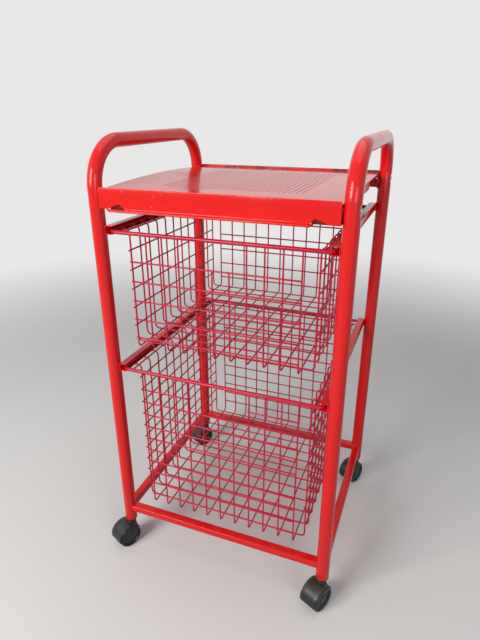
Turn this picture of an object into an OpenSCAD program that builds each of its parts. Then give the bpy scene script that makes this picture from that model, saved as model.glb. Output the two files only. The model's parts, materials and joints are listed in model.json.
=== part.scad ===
// Household utility trolley: two bent-tube side frames, a sheet-steel top tray,
// two wire baskets that slide in channel runners, and four twin-wheel castors.
// +X is the right side, -Y the front, +Z up. The floor is z = 0, and the origin
// lies midway between the four wheel pairs.

/* [Frame] */
// Distance between the centre lines of the two side frames
frame_w = 425; // [380:5:520]
// Distance between the centre lines of a front and a rear leg
frame_d = 385; // [340:5:450]
// Height of the top of the handles above the floor. The tray and baskets go with it
handle_top_z = 848; // [780:1:950]
// Height of the top of the handles above the tray's flat top
handle_rise = 85; // [82:1:110]
// Outside diameter of the side-frame tube
tube_d = 25; // [22:1:28]
// Wall of the side-frame tube
tube_wall = 1.2; // [1:0.1:1.5]
// Centre-line radius of the handle bends
handle_bend_r = 74; // [45:1:80]

/* [Base rails] */
// Width of the box-section base rails
rail_w = 17; // [12:1:20]
// Height of the base rails
rail_h = 14; // [10:1:20]
// Wall of the base rails
rail_wall = 1.2; // [1:0.1:2]
// Height of the rails' top face above the leg bottoms
rail_top_rise = 37.5; // [30:0.5:50]

/* [Tray] */
// Rise of the rims along the tray's front and rear edges
tray_rim_h = 4.5; // [3:0.5:8]
// Thickness of the tray's steel sheet
tray_sheet = 1; // [0.8:0.1:1.5]
// Depth of the front and rear flanges, from the top of their rims
tray_flange_h = 34; // [30:0.5:40]
// Depth of the short flanges at the middle of each side
tray_side_flange_h = 15; // [8:1:25]
// Length of each side flange
tray_side_flange_len = 119; // [80:1:180]
// How far the stiffening lip stands out from the foot of a flange
tray_lip_out = 8; // [4:0.5:10]
// Thickness of the folded lip
tray_lip_t = 2; // [1.5:0.1:3]
// Distance from the tray's end to the root of the lip's slanted end
tray_lip_inset = 15; // [12:0.5:40]
// How much shorter the lip is at its right end
tray_lip_short = 24; // [0:1:60]
// Width of the V-notch near each end of a flange
notch_w = 27; // [16:1:30]
// Height of the V-notch
notch_h = 9; // [6:0.5:12]
// Distance from the tray's end to the middle of a V-notch
notch_inset = 30.5; // [28:0.5:60]
// How far a notch's tip is set over towards the middle of the tray
notch_skew = 6; // [-8:0.5:8]
// Angle to which the sheet of a notch is pushed in
notch_push = 28; // [20:1:40]

/* [Tray screws] */
// Shank diameter of the screws that hold the tray between the frames
screw_d = 5; // [4:0.5:6]
// Depth of the screws below the tray's flat top
screw_drop = 8.5; // [7.5:0.5:14]
// Height of the dimple pressed into the tube for a screw head
dimple_h = 17; // [12:1:20]
// Depth of the dimple
dimple_depth = 2; // [1:0.1:2.5]

/* [Runners] */
// Height of the C-channel runners
runner_h = 15; // [13:0.5:18]
// Width of the runner flanges
runner_w = 14; // [11:0.5:16]
// Sheet thickness of the runners
runner_sheet = 1.2; // [1:0.1:1.5]
// How far each end of a runner reaches past the leg centre line
runner_reach = 3; // [0:0.5:8]

/* [Baskets] */
// Drop from the tray's flat top to the upper basket's rim centre line
upper_rim_drop = 70; // [58:1:90]
// Height of the upper basket's rim above the lower basket's rim
rim_step = 262; // [240:1:280]
// Depth of the upper basket, rim centre to bottom wire centre
upper_depth = 212; // [190:1:215]
// Height of the lower basket's bottom wires above the base rails
lower_floor_gap = 20.5; // [12:0.5:50]
// Diameter of the rim wires
rim_d = 7; // [5:0.5:8]
// Diameter of the mesh wires
wire_d = 3; // [2.5:0.1:3.5]
// Centre-line bend radius of the mesh wires
wire_bend_r = 8; // [6:0.5:10]
// Plan corner radius of the rims, on the centre line
rim_corner_r = 14; // [10:1:20]
// Side clearance between a rim and each runner web
rim_side_gap = 2; // [1:0.25:4]
// How far the rim's front wire stands forward of the front legs' centre line
rim_front_reach = 1; // [0:0.5:4]
// How far the rim's rear wire stands behind the rear legs' centre line
rim_rear_reach = 6; // [0:0.5:8]
// Distance from the rim's side wire to the basket's side wall
wall_inset = 25; // [20:0.5:30]
// Number of front-to-back wires
long_count = 11; // [9:2:13]
// Distance from the side walls to the nearest front-to-back wire
long_edge = 18; // [14:0.5:30]
// How far the upper basket's front-to-back wires sit off the middle
upper_long_shift = -5.5; // [-8:0.5:8]
// Number of side-to-side wires
cross_count = 12; // [8:1:14]
// Distance from the front and rear walls to the nearest side-to-side wire
cross_edge = 19; // [12:0.5:24]
// Number of rows on the upper basket's walls
upper_rows = 5; // [3:1:5]
// Height of the upper basket's last row above its bottom wires
upper_row_foot = 20; // [14:0.5:30]
// Drop from the upper rim to the first front and rear row
upper_row_drop = 50; // [44:0.5:54]
// Number of rows on the lower basket's walls
lower_rows = 10; // [6:1:10]
// Height of the lower basket's last row above its bottom wires
lower_row_foot = 25.5; // [14:0.5:34]
// Drop from the lower rim to the first front and rear row
lower_row_drop = 40; // [34:0.5:44]
// How much higher the side rows lie than the front and rear rows
side_row_lift = 13; // [8:0.5:16]

/* [Castors] */
// Height from the floor to the bottom of a leg
castor_h = 60; // [58:1:70]
// Diameter of the castor wheels
wheel_d = 50; // [44:1:52]
// Width of one wheel
wheel_w = 14.5; // [10:0.5:18]
// Overall width of a twin-wheel castor
castor_w = 38; // [34:1:42]
// Distance the axle trails behind the stem
castor_trail = 16; // [12:0.5:18]
// Angle to which the castors are turned about their stems
castor_turn = 25; // [0:1:45]
// Diameter of the castor stem
stem_d = 8; // [7:0.5:10]
// Length of the stem inside its socket
stem_len = 36; // [25:1:45]
// Diameter of the axle
axle_d = 5; // [4:0.5:7]
// Thickness of the hood over the wheels
hood_t = 1.6; // [1.2:0.1:2.5]

/* [Hidden] */

frame_red = [0.84, 0.08, 0.08];
wire_red = [0.80, 0.10, 0.22];
plastic_black = [0.10, 0.10, 0.11];
steel = [0.62, 0.62, 0.64];

touch = 0.1;        // gap between pieces that are welded or bolted together
running_fit = 0.05; // radial play of pins that turn
press_fit = 0.02;   // radial play of pins that are held
slide_gap = 0.3;    // gap under a rim that rests on its runners
cut = 1;            // how far a cutting solid runs past what it cuts

tube_r = tube_d / 2;
bore_r = tube_r - tube_wall;
leg_x = frame_w / 2;
leg_y = frame_d / 2;
clear_x = leg_x - tube_r - touch; // half the clear width between the side frames
handle_axis_z = handle_top_z - tube_r;

// The wheels trail to the front and left of their stems, so the frame stands
// this far from the middle of the wheel pairs.
frame_shift = castor_trail * [sin(castor_turn), cos(castor_turn), 0];

tray_top_z = handle_top_z - handle_rise;
rail_top_z = castor_h + rail_top_rise;
screw_z = tray_top_z - screw_drop;
flange_foot_z = tray_top_z + tray_rim_h - tray_flange_h;
tray_lip_miter = 1.4 * tray_lip_out;

upper_rim_z = tray_top_z - upper_rim_drop;
lower_rim_z = upper_rim_z - rim_step;
lower_depth = lower_rim_z - rail_top_z - lower_floor_gap;
upper_row_pitch = (upper_depth - upper_row_drop - upper_row_foot) / (upper_rows - 1);
lower_row_pitch = (lower_depth - lower_row_drop - lower_row_foot) / (lower_rows - 1);

rim_r = rim_d / 2;
rim_x = clear_x - runner_sheet - rim_side_gap - rim_r;
rim_front_y = -leg_y - rim_front_reach;
rim_rear_y = leg_y + rim_rear_reach;
weld_step = wire_d + touch; // centre distance of two crossed mesh wires
wall_x = rim_x - wall_inset;
front_wall_y = rim_front_y + rim_r + wire_d / 2 + touch;
rear_wall_y = rim_rear_y - rim_r - wire_d / 2 - touch;
long_half = wall_x - long_edge;
long_pitch = 2 * long_half / (long_count - 1);
row_half = long_half + wire_d / 2 + touch;
window_half = 2; // wires counted from the middle to each side of the hand hole

axle_z = wheel_d / 2;
wheel_gap = 0.4;  // side play of a wheel against the web
hood_gap = 0.5;   // gap between a wheel and the hood
web_half = castor_w / 2 - wheel_w - wheel_gap;
hood_inner_r = wheel_d / 2 + hood_gap;
hood_outer_r = hood_inner_r + hood_t;
hood_half = castor_w / 2 - 1.5;
hood_edge_angle = 26;  // angle of the hood's rear edge above the axle
hood_front_angle = 12; // angle of the hood's front edge below the axle
socket_flange_t = 2;
boss_r = stem_d / 2 + 5;
boss_top_z = castor_h - socket_flange_t - 2;

$fn = 48;
wire_fn = 24;

// ---------- shared shapes ----------

module in_part_frame() {
    translate(frame_shift) children();
}

// A straight round bar from one point to another.
module bar(from, to, r) {
    span = to - from;
    translate(from)
        rotate([0, acos(span.z / norm(span)), atan2(span.y, span.x)])
            cylinder(r = r, h = norm(span));
}

// A quarter bend round a square corner, entered along one direction and left along another.
module quarter_bend(corner, enter, leave, r, bend_r) {
    centre = corner + bend_r * (leave - enter);
    side = cross(enter, leave);
    multmatrix([
        [-leave.x, enter.x, side.x, centre.x],
        [-leave.y, enter.y, side.y, centre.y],
        [-leave.z, enter.z, side.z, centre.z],
        [0, 0, 0, 1]
    ])
        rotate_extrude(angle = 90)
            translate([bend_r, 0])
                circle(r = r);
}

function heading(from, to) = (to - from) / norm(to - from);

// A round rod along a chain of points whose corners are square.
module bent_rod(points, r, bend_r) {
    last = len(points) - 1;
    for (i = [0 : last - 1]) {
        along = heading(points[i], points[i + 1]);
        start_trim = i > 0 ? bend_r : 0;
        end_trim = i < last - 1 ? bend_r : 0;
        bar(points[i] + start_trim * along, points[i + 1] - end_trim * along, r);
    }
    for (i = [1 : last - 1])
        quarter_bend(points[i], heading(points[i - 1], points[i]),
                     heading(points[i], points[i + 1]), r, bend_r);
}

// A closed rectangle of round rod, with rounded corners.
module rod_ring(half_x, front_y, rear_y, z, r, corner_r) {
    corners = [[-half_x, front_y, z], [half_x, front_y, z], [half_x, rear_y, z], [-half_x, rear_y, z]];
    for (i = [0 : 3]) {
        from = corners[i];
        to = corners[(i + 1) % 4];
        past = corners[(i + 2) % 4];
        along = heading(from, to);
        bar(from + corner_r * along, to - corner_r * along, r);
        quarter_bend(to, along, heading(to, past), r, corner_r);
    }
}

// ---------- side frames ----------

// Radius of the dimples' curved floor.
dimple_r = (dimple_h * dimple_h / 4 + dimple_depth * dimple_depth) / (2 * dimple_depth);

function frame_path(foot_z) = [
    [0, -leg_y, foot_z], [0, -leg_y, handle_axis_z],
    [0, leg_y, handle_axis_z], [0, leg_y, foot_z]
];

// A flat-sided hollow pressed into the outer side of a leg, in line with its screw.
module dimple(depth) {
    translate([tube_r - depth + dimple_r, 0, 0])
        rotate([90, 0, 0])
            cylinder(r = dimple_r, h = tube_d + 2 * cut, center = true);
}

// One inverted-U side frame. Side is -1 on the left and 1 on the right.
module side_frame(side) {
    color(frame_red) in_part_frame() translate([side * leg_x, 0, 0])
        difference() {
            bent_rod(frame_path(castor_h), tube_r, handle_bend_r);
            difference() {
                bent_rod(frame_path(castor_h - cut), bore_r, handle_bend_r);
                for (end = [-1, 1])
                    translate([0, end * leg_y, screw_z]) mirror([side < 0 ? 1 : 0, 0, 0])
                        dimple(dimple_depth + tube_wall);
            }
            for (end = [-1, 1])
                translate([0, end * leg_y, screw_z]) {
                    mirror([side < 0 ? 1 : 0, 0, 0]) dimple(dimple_depth);
                    rotate([0, 90, 0])
                        cylinder(r = screw_d / 2 + touch, h = tube_d + 2 * cut, center = true);
                }
        }
}

module left_side_frame() { side_frame(-1); }
module right_side_frame() { side_frame(1); }

// ---------- base rails ----------

// A box-section rail along X or Y between two legs, its ends shaped to fit round them.
module rail(centre, length, turn) {
    color(frame_red) in_part_frame()
        translate([centre.x, centre.y, rail_top_z - rail_h / 2]) rotate([0, 0, turn])
            difference() {
                cube([length, rail_w, rail_h], center = true);
                cube([length + 2 * cut, rail_w - 2 * rail_wall, rail_h - 2 * rail_wall], center = true);
                for (end = [-1, 1])
                    translate([end * length / 2, 0, 0])
                        cylinder(r = tube_r + touch, h = rail_h + 2 * cut, center = true);
            }
}

module front_rail() { rail([0, -leg_y], frame_w, 0); }
module rear_rail() { rail([0, leg_y], frame_w, 0); }
module left_rail() { rail([-leg_x, 0], frame_d, 90); }
module right_rail() { rail([leg_x, 0], frame_d, 90); }

// ---------- tray ----------

// The V-notch through a flange, drawn round the middle of its open side. Its tip
// leans towards +X.
module notch() {
    slope_l = (notch_w / 2 + notch_skew) / notch_h;
    slope_r = (notch_w / 2 - notch_skew) / notch_h;
    rotate([90, 0, 0])
        linear_extrude(height = 4 * cut + 2 * tray_sheet, center = true)
            polygon([
                [-notch_w / 2 - slope_l * cut, -cut], [notch_w / 2 + slope_r * cut, -cut],
                [notch_skew, notch_h]
            ]);
}

// The V of sheet that was cut free at the notch and pushed in from its tip, drawn in place of it.
module notch_tab() {
    translate([0, 0, notch_h]) rotate([notch_push, 0, 0]) translate([0, 0, -notch_h])
        rotate([90, 0, 0])
            linear_extrude(height = tray_sheet, center = true)
                polygon([
                    [-notch_w / 2, 0], [notch_w / 2, 0],
                    [notch_skew + 1, notch_h + 0.6], [notch_skew - 1, notch_h + 0.6]
                ]);
}

// A front or rear flange with its rim, notches, lip and corner ears. End is -1 at the front.
module tray_flange(end) {
    face_y = leg_y + tube_r;
    lip_half = clear_x - tray_lip_inset;
    right_end = lip_half - tray_lip_short;
    mirror([0, end > 0 ? 1 : 0, 0]) {
        difference() {
            translate([-clear_x, -face_y, flange_foot_z])
                cube([2 * clear_x, tray_sheet, tray_flange_h]);
            for (side = [-1, 1])
                translate([side * (clear_x - notch_inset), -face_y, flange_foot_z])
                    mirror([side > 0 ? 1 : 0, 0, 0]) notch();
        }
        for (side = [-1, 1])
            translate([side * (clear_x - notch_inset), -face_y + tray_sheet / 2, flange_foot_z])
                mirror([side > 0 ? 1 : 0, 0, 0]) notch_tab();
        translate([-clear_x, -face_y, tray_top_z - tray_sheet])
            cube([2 * clear_x, 2 * tray_sheet, tray_rim_h + tray_sheet]);
        translate([0, -face_y + tray_sheet, flange_foot_z - tray_lip_t])
            linear_extrude(height = tray_lip_t)
                polygon([
                    [-lip_half, 0], [-lip_half, -tray_sheet],
                    [-lip_half + tray_lip_miter, -tray_sheet - tray_lip_out],
                    [right_end - tray_lip_miter / 2, -tray_sheet - tray_lip_out],
                    [right_end, -tray_sheet], [right_end, 0]
                ]);
        for (side = [-1, 1])
            difference() {
                translate([side * (clear_x - tray_sheet / 2), -leg_y, flange_foot_z + tray_flange_h / 2])
                    cube([tray_sheet, tube_d, tray_flange_h], center = true);
                translate([side * clear_x, -leg_y, screw_z])
                    rotate([0, 90, 0])
                        cylinder(r = screw_d / 2 + touch, h = 4 * cut, center = true);
            }
    }
}

module tray() {
    face_y = leg_y + tube_r;
    color(frame_red) in_part_frame() union() {
        translate([-clear_x, -face_y, tray_top_z - tray_sheet])
            cube([2 * clear_x, 2 * face_y, tray_sheet]);
        for (end = [-1, 1]) tray_flange(end);
        for (side = [-1, 1])
            translate([side * (clear_x - tray_sheet / 2), 0, tray_top_z - tray_side_flange_h / 2])
                cube([tray_sheet, tray_side_flange_len, tray_side_flange_h], center = true);
    }
}

// Places children at each tray screw, with +X pointing out of the trolley.
module at_screws() {
    in_part_frame()
        for (side = [0, 1], end = [-1, 1])
            mirror([side, 0, 0])
                translate([leg_x, end * leg_y, screw_z]) children();
}

screw_head_r = screw_d * 0.9;
screw_head_t = screw_d * 0.4;
head_seat = dimple_r - sqrt(dimple_r * dimple_r - screw_head_r * screw_head_r);
nut_r = screw_d * 0.9;
nut_t = screw_d * 0.8;

// Pan-head screws through the legs and the tray's ears.
module tray_screws() {
    seat_x = tube_r - dimple_depth + head_seat + touch;
    tip_x = -tube_r - touch - tray_sheet - nut_t - 1.5;
    color(steel) at_screws() rotate([0, 90, 0]) {
        translate([0, 0, tip_x]) cylinder(r = screw_d / 2, h = seat_x - tip_x + touch);
        translate([0, 0, seat_x]) cylinder(r = screw_head_r, h = screw_head_t);
    }
}

// Hexagon nuts behind the tray's ears.
module tray_nuts() {
    face_x = -tube_r - 2 * touch - tray_sheet;
    color(steel) at_screws()
        translate([face_x - nut_t, 0, 0]) rotate([0, 90, 0])
            difference() {
                cylinder(r = nut_r, h = nut_t, $fn = 6);
                translate([0, 0, -cut])
                    cylinder(r = screw_d / 2 + press_fit, h = nut_t + 2 * cut);
            }
}

// ---------- runners ----------

// A C-channel on the inner side of a side frame, open towards the middle.
module runner(side, rim_z) {
    length = frame_d + 2 * runner_reach;
    bottom_z = rim_z - rim_r - slide_gap - runner_sheet;
    color(frame_red) in_part_frame() mirror([side < 0 ? 1 : 0, 0, 0])
        translate([clear_x - runner_w, -length / 2, bottom_z])
            difference() {
                cube([runner_w, length, runner_h]);
                translate([-cut, -cut, runner_sheet])
                    cube([runner_w - runner_sheet + cut, length + 2 * cut, runner_h - 2 * runner_sheet]);
            }
}

module upper_left_runner() { runner(-1, upper_rim_z); }
module upper_right_runner() { runner(1, upper_rim_z); }
module lower_left_runner() { runner(-1, lower_rim_z); }
module lower_right_runner() { runner(1, lower_rim_z); }

// ---------- baskets ----------

module basket_rim(rim_z) {
    color(wire_red) in_part_frame()
        rod_ring(rim_x, rim_front_y, rim_rear_y, rim_z, rim_r, rim_corner_r, $fn = wire_fn);
}

// U-shaped wires down the front wall, along the bottom and up the rear wall.
// Those in the middle of the front stop at the lower edge of the hand hole.
module long_wires(rim_z, depth, window_z, shift) {
    bottom_z = rim_z - depth;
    middle = (long_count - 1) / 2;
    color(wire_red) in_part_frame()
        for (i = [0 : long_count - 1]) {
            x = (i - middle) * long_pitch + shift;
            front_z = abs(i - middle) < window_half ? window_z : rim_z;
            bent_rod([[x, front_wall_y, front_z], [x, front_wall_y, bottom_z],
                      [x, rear_wall_y, bottom_z], [x, rear_wall_y, rim_z]],
                     wire_d / 2, wire_bend_r, $fn = wire_fn);
        }
}

// U-shaped wires down one side wall, across the bottom and up the other, with
// their ends turned out through the runner's open side to the rim.
module cross_wires(rim_z, depth) {
    bottom_z = rim_z - depth + weld_step;
    end_x = rim_x - rim_r - touch;
    first_y = front_wall_y + cross_edge;
    pitch = (rear_wall_y - cross_edge - first_y) / (cross_count - 1);
    color(wire_red) in_part_frame()
        for (i = [0 : cross_count - 1]) {
            y = first_y + i * pitch;
            bent_rod([[-end_x, y, rim_z], [-wall_x, y, rim_z], [-wall_x, y, bottom_z],
                      [wall_x, y, bottom_z], [wall_x, y, rim_z], [end_x, y, rim_z]],
                     wire_d / 2, wire_bend_r, $fn = wire_fn);
        }
}

module row_wire(from, to) {
    bar(from, to, wire_d / 2, $fn = wire_fn);
}

// Straight rows across the outside of the front wall. Short rows stop at the hand hole.
module front_rows(rim_z, drop, pitch, count, short_count, shift) {
    y = front_wall_y - weld_step;
    window_x = window_half * long_pitch - wire_d / 2 - touch;
    color(wire_red) in_part_frame() translate([shift, 0, 0])
        for (i = [0 : count - 1]) {
            z = rim_z - drop - i * pitch;
            if (i < short_count)
                for (side = [-1, 1])
                    row_wire([side * window_x, y, z], [side * row_half, y, z]);
            else
                row_wire([-row_half, y, z], [row_half, y, z]);
        }
}

module rear_rows(rim_z, drop, pitch, count, shift) {
    y = rear_wall_y + weld_step;
    color(wire_red) in_part_frame() translate([shift, 0, 0])
        for (i = [0 : count - 1]) {
            z = rim_z - drop - i * pitch;
            row_wire([-row_half, y, z], [row_half, y, z]);
        }
}

// Rows along the outside of the side walls, and a stringer under the turned-out ends.
module side_rows(rim_z, drop, pitch, count) {
    end_y = cross_edge - wire_d;
    stringer_x = wall_x + wire_bend_r;
    color(wire_red) in_part_frame()
        for (side = [-1, 1]) {
            for (i = [0 : count - 1]) {
                z = rim_z - drop + side_row_lift - i * pitch;
                x = side * (wall_x + weld_step);
                row_wire([x, front_wall_y + end_y, z], [x, rear_wall_y - end_y, z]);
            }
            row_wire([side * stringer_x, front_wall_y + wire_d, rim_z - weld_step],
                     [side * stringer_x, rear_wall_y - wire_d, rim_z - weld_step]);
        }
}

upper_window_z = upper_rim_z - upper_row_drop;
lower_window_z = lower_rim_z - lower_row_drop - lower_row_pitch;

module upper_basket_rim() { basket_rim(upper_rim_z); }
module upper_basket_long_wires() {
    long_wires(upper_rim_z, upper_depth, upper_window_z, upper_long_shift);
}
module upper_basket_cross_wires() { cross_wires(upper_rim_z, upper_depth); }
module upper_basket_front_rows() {
    front_rows(upper_rim_z, upper_row_drop, upper_row_pitch, upper_rows, 0, upper_long_shift);
}
module upper_basket_rear_rows() {
    rear_rows(upper_rim_z, upper_row_drop, upper_row_pitch, upper_rows, upper_long_shift);
}
module upper_basket_side_rows() { side_rows(upper_rim_z, upper_row_drop, upper_row_pitch, upper_rows); }

module lower_basket_rim() { basket_rim(lower_rim_z); }
module lower_basket_long_wires() { long_wires(lower_rim_z, lower_depth, lower_window_z, 0); }
module lower_basket_cross_wires() { cross_wires(lower_rim_z, lower_depth); }
module lower_basket_front_rows() {
    front_rows(lower_rim_z, lower_row_drop, lower_row_pitch, lower_rows, 1, 0);
}
module lower_basket_rear_rows() {
    rear_rows(lower_rim_z, lower_row_drop, lower_row_pitch, lower_rows, 0);
}
module lower_basket_side_rows() { side_rows(lower_rim_z, lower_row_drop, lower_row_pitch, lower_rows); }

// ---------- castors ----------

// Puts children at a leg's foot: side is -1 on the left, end is -1 at the front.
module at_leg(side, end) {
    in_part_frame() translate([side * leg_x, end * leg_y, 0]) children();
}

// Turns children about the leg, so that -Y is the way the castor trails.
module at_castor(side, end) {
    at_leg(side, end) rotate([0, 0, -castor_turn]) children();
}

module at_axle(side, end) {
    at_castor(side, end) translate([0, -castor_trail, axle_z]) rotate([0, 90, 0]) children();
}

// Plastic bush pressed into the foot of a leg, with a collar below it.
module socket(side, end) {
    color(plastic_black) at_leg(side, end)
        difference() {
            union() {
                translate([0, 0, castor_h - touch - socket_flange_t])
                    cylinder(r = tube_r, h = socket_flange_t);
                translate([0, 0, castor_h - touch - socket_flange_t])
                    cylinder(r = bore_r - touch, h = socket_flange_t + stem_len + 2);
            }
            translate([0, 0, castor_h - touch - socket_flange_t - cut])
                cylinder(r = stem_d / 2 + running_fit, h = socket_flange_t + stem_len + cut);
        }
}

// Steel pin held in the castor body's boss, free to turn in the socket.
module stem(side, end) {
    foot_z = boss_top_z - boss_r;
    top_z = castor_h + stem_len - 2;
    color(steel) at_castor(side, end)
        rotate_extrude()
            polygon([
                [0, foot_z], [stem_d / 2, foot_z], [stem_d / 2, top_z - 8],
                [stem_d / 2 - 0.6, top_z - 7.4], [stem_d / 2 - 0.6, top_z - 5.6],
                [stem_d / 2, top_z - 5], [stem_d / 2, top_z - 1], [stem_d / 2 - 1, top_z], [0, top_z]
            ]);
}

// Moulded body: a web between the wheels, a hood over them and the stem's boss.
module castor_body(side, end) {
    hood_edge_z = axle_z + hood_outer_r * sin(hood_edge_angle);
    hood_front_z = axle_z - hood_outer_r * sin(hood_front_angle);
    color(plastic_black) at_castor(side, end)
        difference() {
            union() {
                translate([0, -castor_trail, axle_z]) rotate([0, 90, 0])
                    cylinder(r = hood_inner_r - 4, h = 2 * web_half, center = true);
                intersection() {
                    translate([0, -castor_trail, axle_z]) rotate([0, 90, 0])
                        cylinder(r = hood_outer_r, h = 2 * hood_half, center = true);
                    union() {
                        translate([-castor_w / 2, -castor_trail - hood_outer_r, hood_edge_z])
                            cube([castor_w, 2 * hood_outer_r, hood_outer_r]);
                        translate([-castor_w / 2, -castor_trail - hood_outer_r, hood_front_z])
                            cube([castor_w, hood_outer_r, 2 * hood_outer_r]);
                    }
                }
                translate([0, 0, axle_z])
                    cylinder(r = boss_r, h = boss_top_z - axle_z);
            }
            for (half = [-1, 1])
                translate([half * (web_half + castor_w / 2), -castor_trail, axle_z]) rotate([0, 90, 0])
                    cylinder(r = hood_inner_r, h = castor_w, center = true);
            translate([0, -castor_trail, axle_z]) rotate([0, 90, 0])
                cylinder(r = axle_d / 2 + press_fit, h = castor_w, center = true);
            translate([0, 0, boss_top_z - boss_r - touch])
                cylinder(r = stem_d / 2 + press_fit, h = boss_r + cut);
        }
}

module axle(side, end) {
    color(steel) at_axle(side, end)
        cylinder(r = axle_d / 2, h = castor_w - 1, center = true);
}

// One wheel of a pair, dished on its outer face. Half is -1 for the left wheel.
module wheel(side, end, half) {
    inner_x = web_half + wheel_gap;
    outer_x = castor_w / 2;
    r = wheel_d / 2;
    edge = 1.5;
    dish = 2.5;
    rim_in_r = r - 5;
    hub_r = axle_d / 2 + 4;
    color(plastic_black) at_axle(side, end) mirror([0, 0, half < 0 ? 1 : 0])
        rotate_extrude()
            polygon([
                [axle_d / 2 + running_fit, inner_x], [r - edge, inner_x], [r, inner_x + edge],
                [r, outer_x - edge], [r - edge, outer_x], [rim_in_r, outer_x],
                [rim_in_r - 1, outer_x - dish], [hub_r + 1, outer_x - dish],
                [hub_r, outer_x - 0.5], [axle_d / 2 + running_fit, outer_x - 0.5]
            ]);
}

module front_left_socket() { socket(-1, -1); }
module front_left_stem() { stem(-1, -1); }
module front_left_castor_body() { castor_body(-1, -1); }
module front_left_axle() { axle(-1, -1); }
module front_left_wheel_a() { wheel(-1, -1, -1); }
module front_left_wheel_b() { wheel(-1, -1, 1); }

module front_right_socket() { socket(1, -1); }
module front_right_stem() { stem(1, -1); }
module front_right_castor_body() { castor_body(1, -1); }
module front_right_axle() { axle(1, -1); }
module front_right_wheel_a() { wheel(1, -1, -1); }
module front_right_wheel_b() { wheel(1, -1, 1); }

module rear_left_socket() { socket(-1, 1); }
module rear_left_stem() { stem(-1, 1); }
module rear_left_castor_body() { castor_body(-1, 1); }
module rear_left_axle() { axle(-1, 1); }
module rear_left_wheel_a() { wheel(-1, 1, -1); }
module rear_left_wheel_b() { wheel(-1, 1, 1); }

module rear_right_socket() { socket(1, 1); }
module rear_right_stem() { stem(1, 1); }
module rear_right_castor_body() { castor_body(1, 1); }
module rear_right_axle() { axle(1, 1); }
module rear_right_wheel_a() { wheel(1, 1, -1); }
module rear_right_wheel_b() { wheel(1, 1, 1); }

left_side_frame();
right_side_frame();
tray();
tray_screws();
tray_nuts();
front_rail();
rear_rail();
left_rail();
right_rail();
upper_left_runner();
upper_right_runner();
lower_left_runner();
lower_right_runner();
upper_basket_rim();
upper_basket_long_wires();
upper_basket_cross_wires();
upper_basket_front_rows();
upper_basket_rear_rows();
upper_basket_side_rows();
lower_basket_rim();
lower_basket_long_wires();
lower_basket_cross_wires();
lower_basket_front_rows();
lower_basket_rear_rows();
lower_basket_side_rows();
front_left_socket();
front_left_stem();
front_left_castor_body();
front_left_axle();
front_left_wheel_a();
front_left_wheel_b();
front_right_socket();
front_right_stem();
front_right_castor_body();
front_right_axle();
front_right_wheel_a();
front_right_wheel_b();
rear_left_socket();
rear_left_stem();
rear_left_castor_body();
rear_left_axle();
rear_left_wheel_a();
rear_left_wheel_b();
rear_right_socket();
rear_right_stem();
rear_right_castor_body();
rear_right_axle();
rear_right_wheel_a();
rear_right_wheel_b();
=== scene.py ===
import json
import math

import bmesh
import bpy
import numpy as np
from bpy.props import FloatProperty, FloatVectorProperty, IntProperty, PointerProperty
from mathutils import Matrix, Vector


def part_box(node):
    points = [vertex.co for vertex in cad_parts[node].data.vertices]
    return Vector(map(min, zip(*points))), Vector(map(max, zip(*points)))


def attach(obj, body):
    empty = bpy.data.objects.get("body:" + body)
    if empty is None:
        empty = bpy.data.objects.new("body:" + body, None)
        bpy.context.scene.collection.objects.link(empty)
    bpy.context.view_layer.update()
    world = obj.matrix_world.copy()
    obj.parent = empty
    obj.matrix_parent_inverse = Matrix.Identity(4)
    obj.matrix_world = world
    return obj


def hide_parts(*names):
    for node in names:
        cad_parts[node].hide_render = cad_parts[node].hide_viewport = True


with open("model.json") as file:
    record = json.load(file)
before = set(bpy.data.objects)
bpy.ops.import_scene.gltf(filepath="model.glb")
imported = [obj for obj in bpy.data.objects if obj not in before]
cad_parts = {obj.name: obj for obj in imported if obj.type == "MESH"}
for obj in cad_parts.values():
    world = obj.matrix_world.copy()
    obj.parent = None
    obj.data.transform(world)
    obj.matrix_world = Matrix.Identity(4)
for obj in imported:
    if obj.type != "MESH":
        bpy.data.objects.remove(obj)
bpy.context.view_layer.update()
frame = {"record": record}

bl_info = {
    "name": "Basket Trolley",
    "version": (1, 0, 0),
    "blender": (4, 5, 0),
    "location": "View3D > Sidebar > Trolley",
    "description": "Dresses a red tube-frame trolley with a sheet tray and two wire baskets",
    "category": "Add Mesh",
}

# ---------- where the frame is ----------


def corners(node):
    """A node's lowest and highest corners."""
    lowest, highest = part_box(node)
    return np.array(lowest), np.array(highest)


LEFT_LOW, LEFT_HIGH = corners("left_side_frame")
RIGHT_LOW, RIGHT_HIGH = corners("right_side_frame")
TRAY_LOW, TRAY_HIGH = corners("tray")
RAIL_LOW, RAIL_HIGH = corners("front_rail")
SCREWS_LOW, SCREWS_HIGH = corners("tray_screws")
MIDDLE = np.array([(LEFT_LOW[0] + RIGHT_HIGH[0]) / 2, (LEFT_LOW[1] + LEFT_HIGH[1]) / 2, 0.0])
TUBE_R = (LEFT_HIGH[0] - LEFT_LOW[0]) / 2
LEG_X = (RIGHT_LOW[0] + RIGHT_HIGH[0]) / 2 - MIDDLE[0]
LEG_Y = (LEFT_HIGH[1] - LEFT_LOW[1]) / 2 - TUBE_R
FOOT_Z, HANDLE_Z = LEFT_LOW[2], LEFT_HIGH[2]
FACE_Y = LEG_Y + TUBE_R  # the tray's flanges are flush with the legs
TRAY_X = (TRAY_HIGH[0] - TRAY_LOW[0]) / 2
SCREW_Z = (SCREWS_LOW[2] + SCREWS_HIGH[2]) / 2
TRAY_TOP_Z = frame["record"]["mounts"][0]["pos_m"][2]
MM = 0.001
TOUCH = 0.0001  # gap between two pieces that touch
SHEET_BEND = 0.0022  # outer radius of the bends in sheet steel
SHEET_EASE = 0.0003  # how far the edges of sheet steel are eased
WIRE_STEP = 0.05  # longest stretch of a wire between two rings
WIRE_ROUND = 0.0008  # how far the end of a wire or weld bead is rounded
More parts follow.
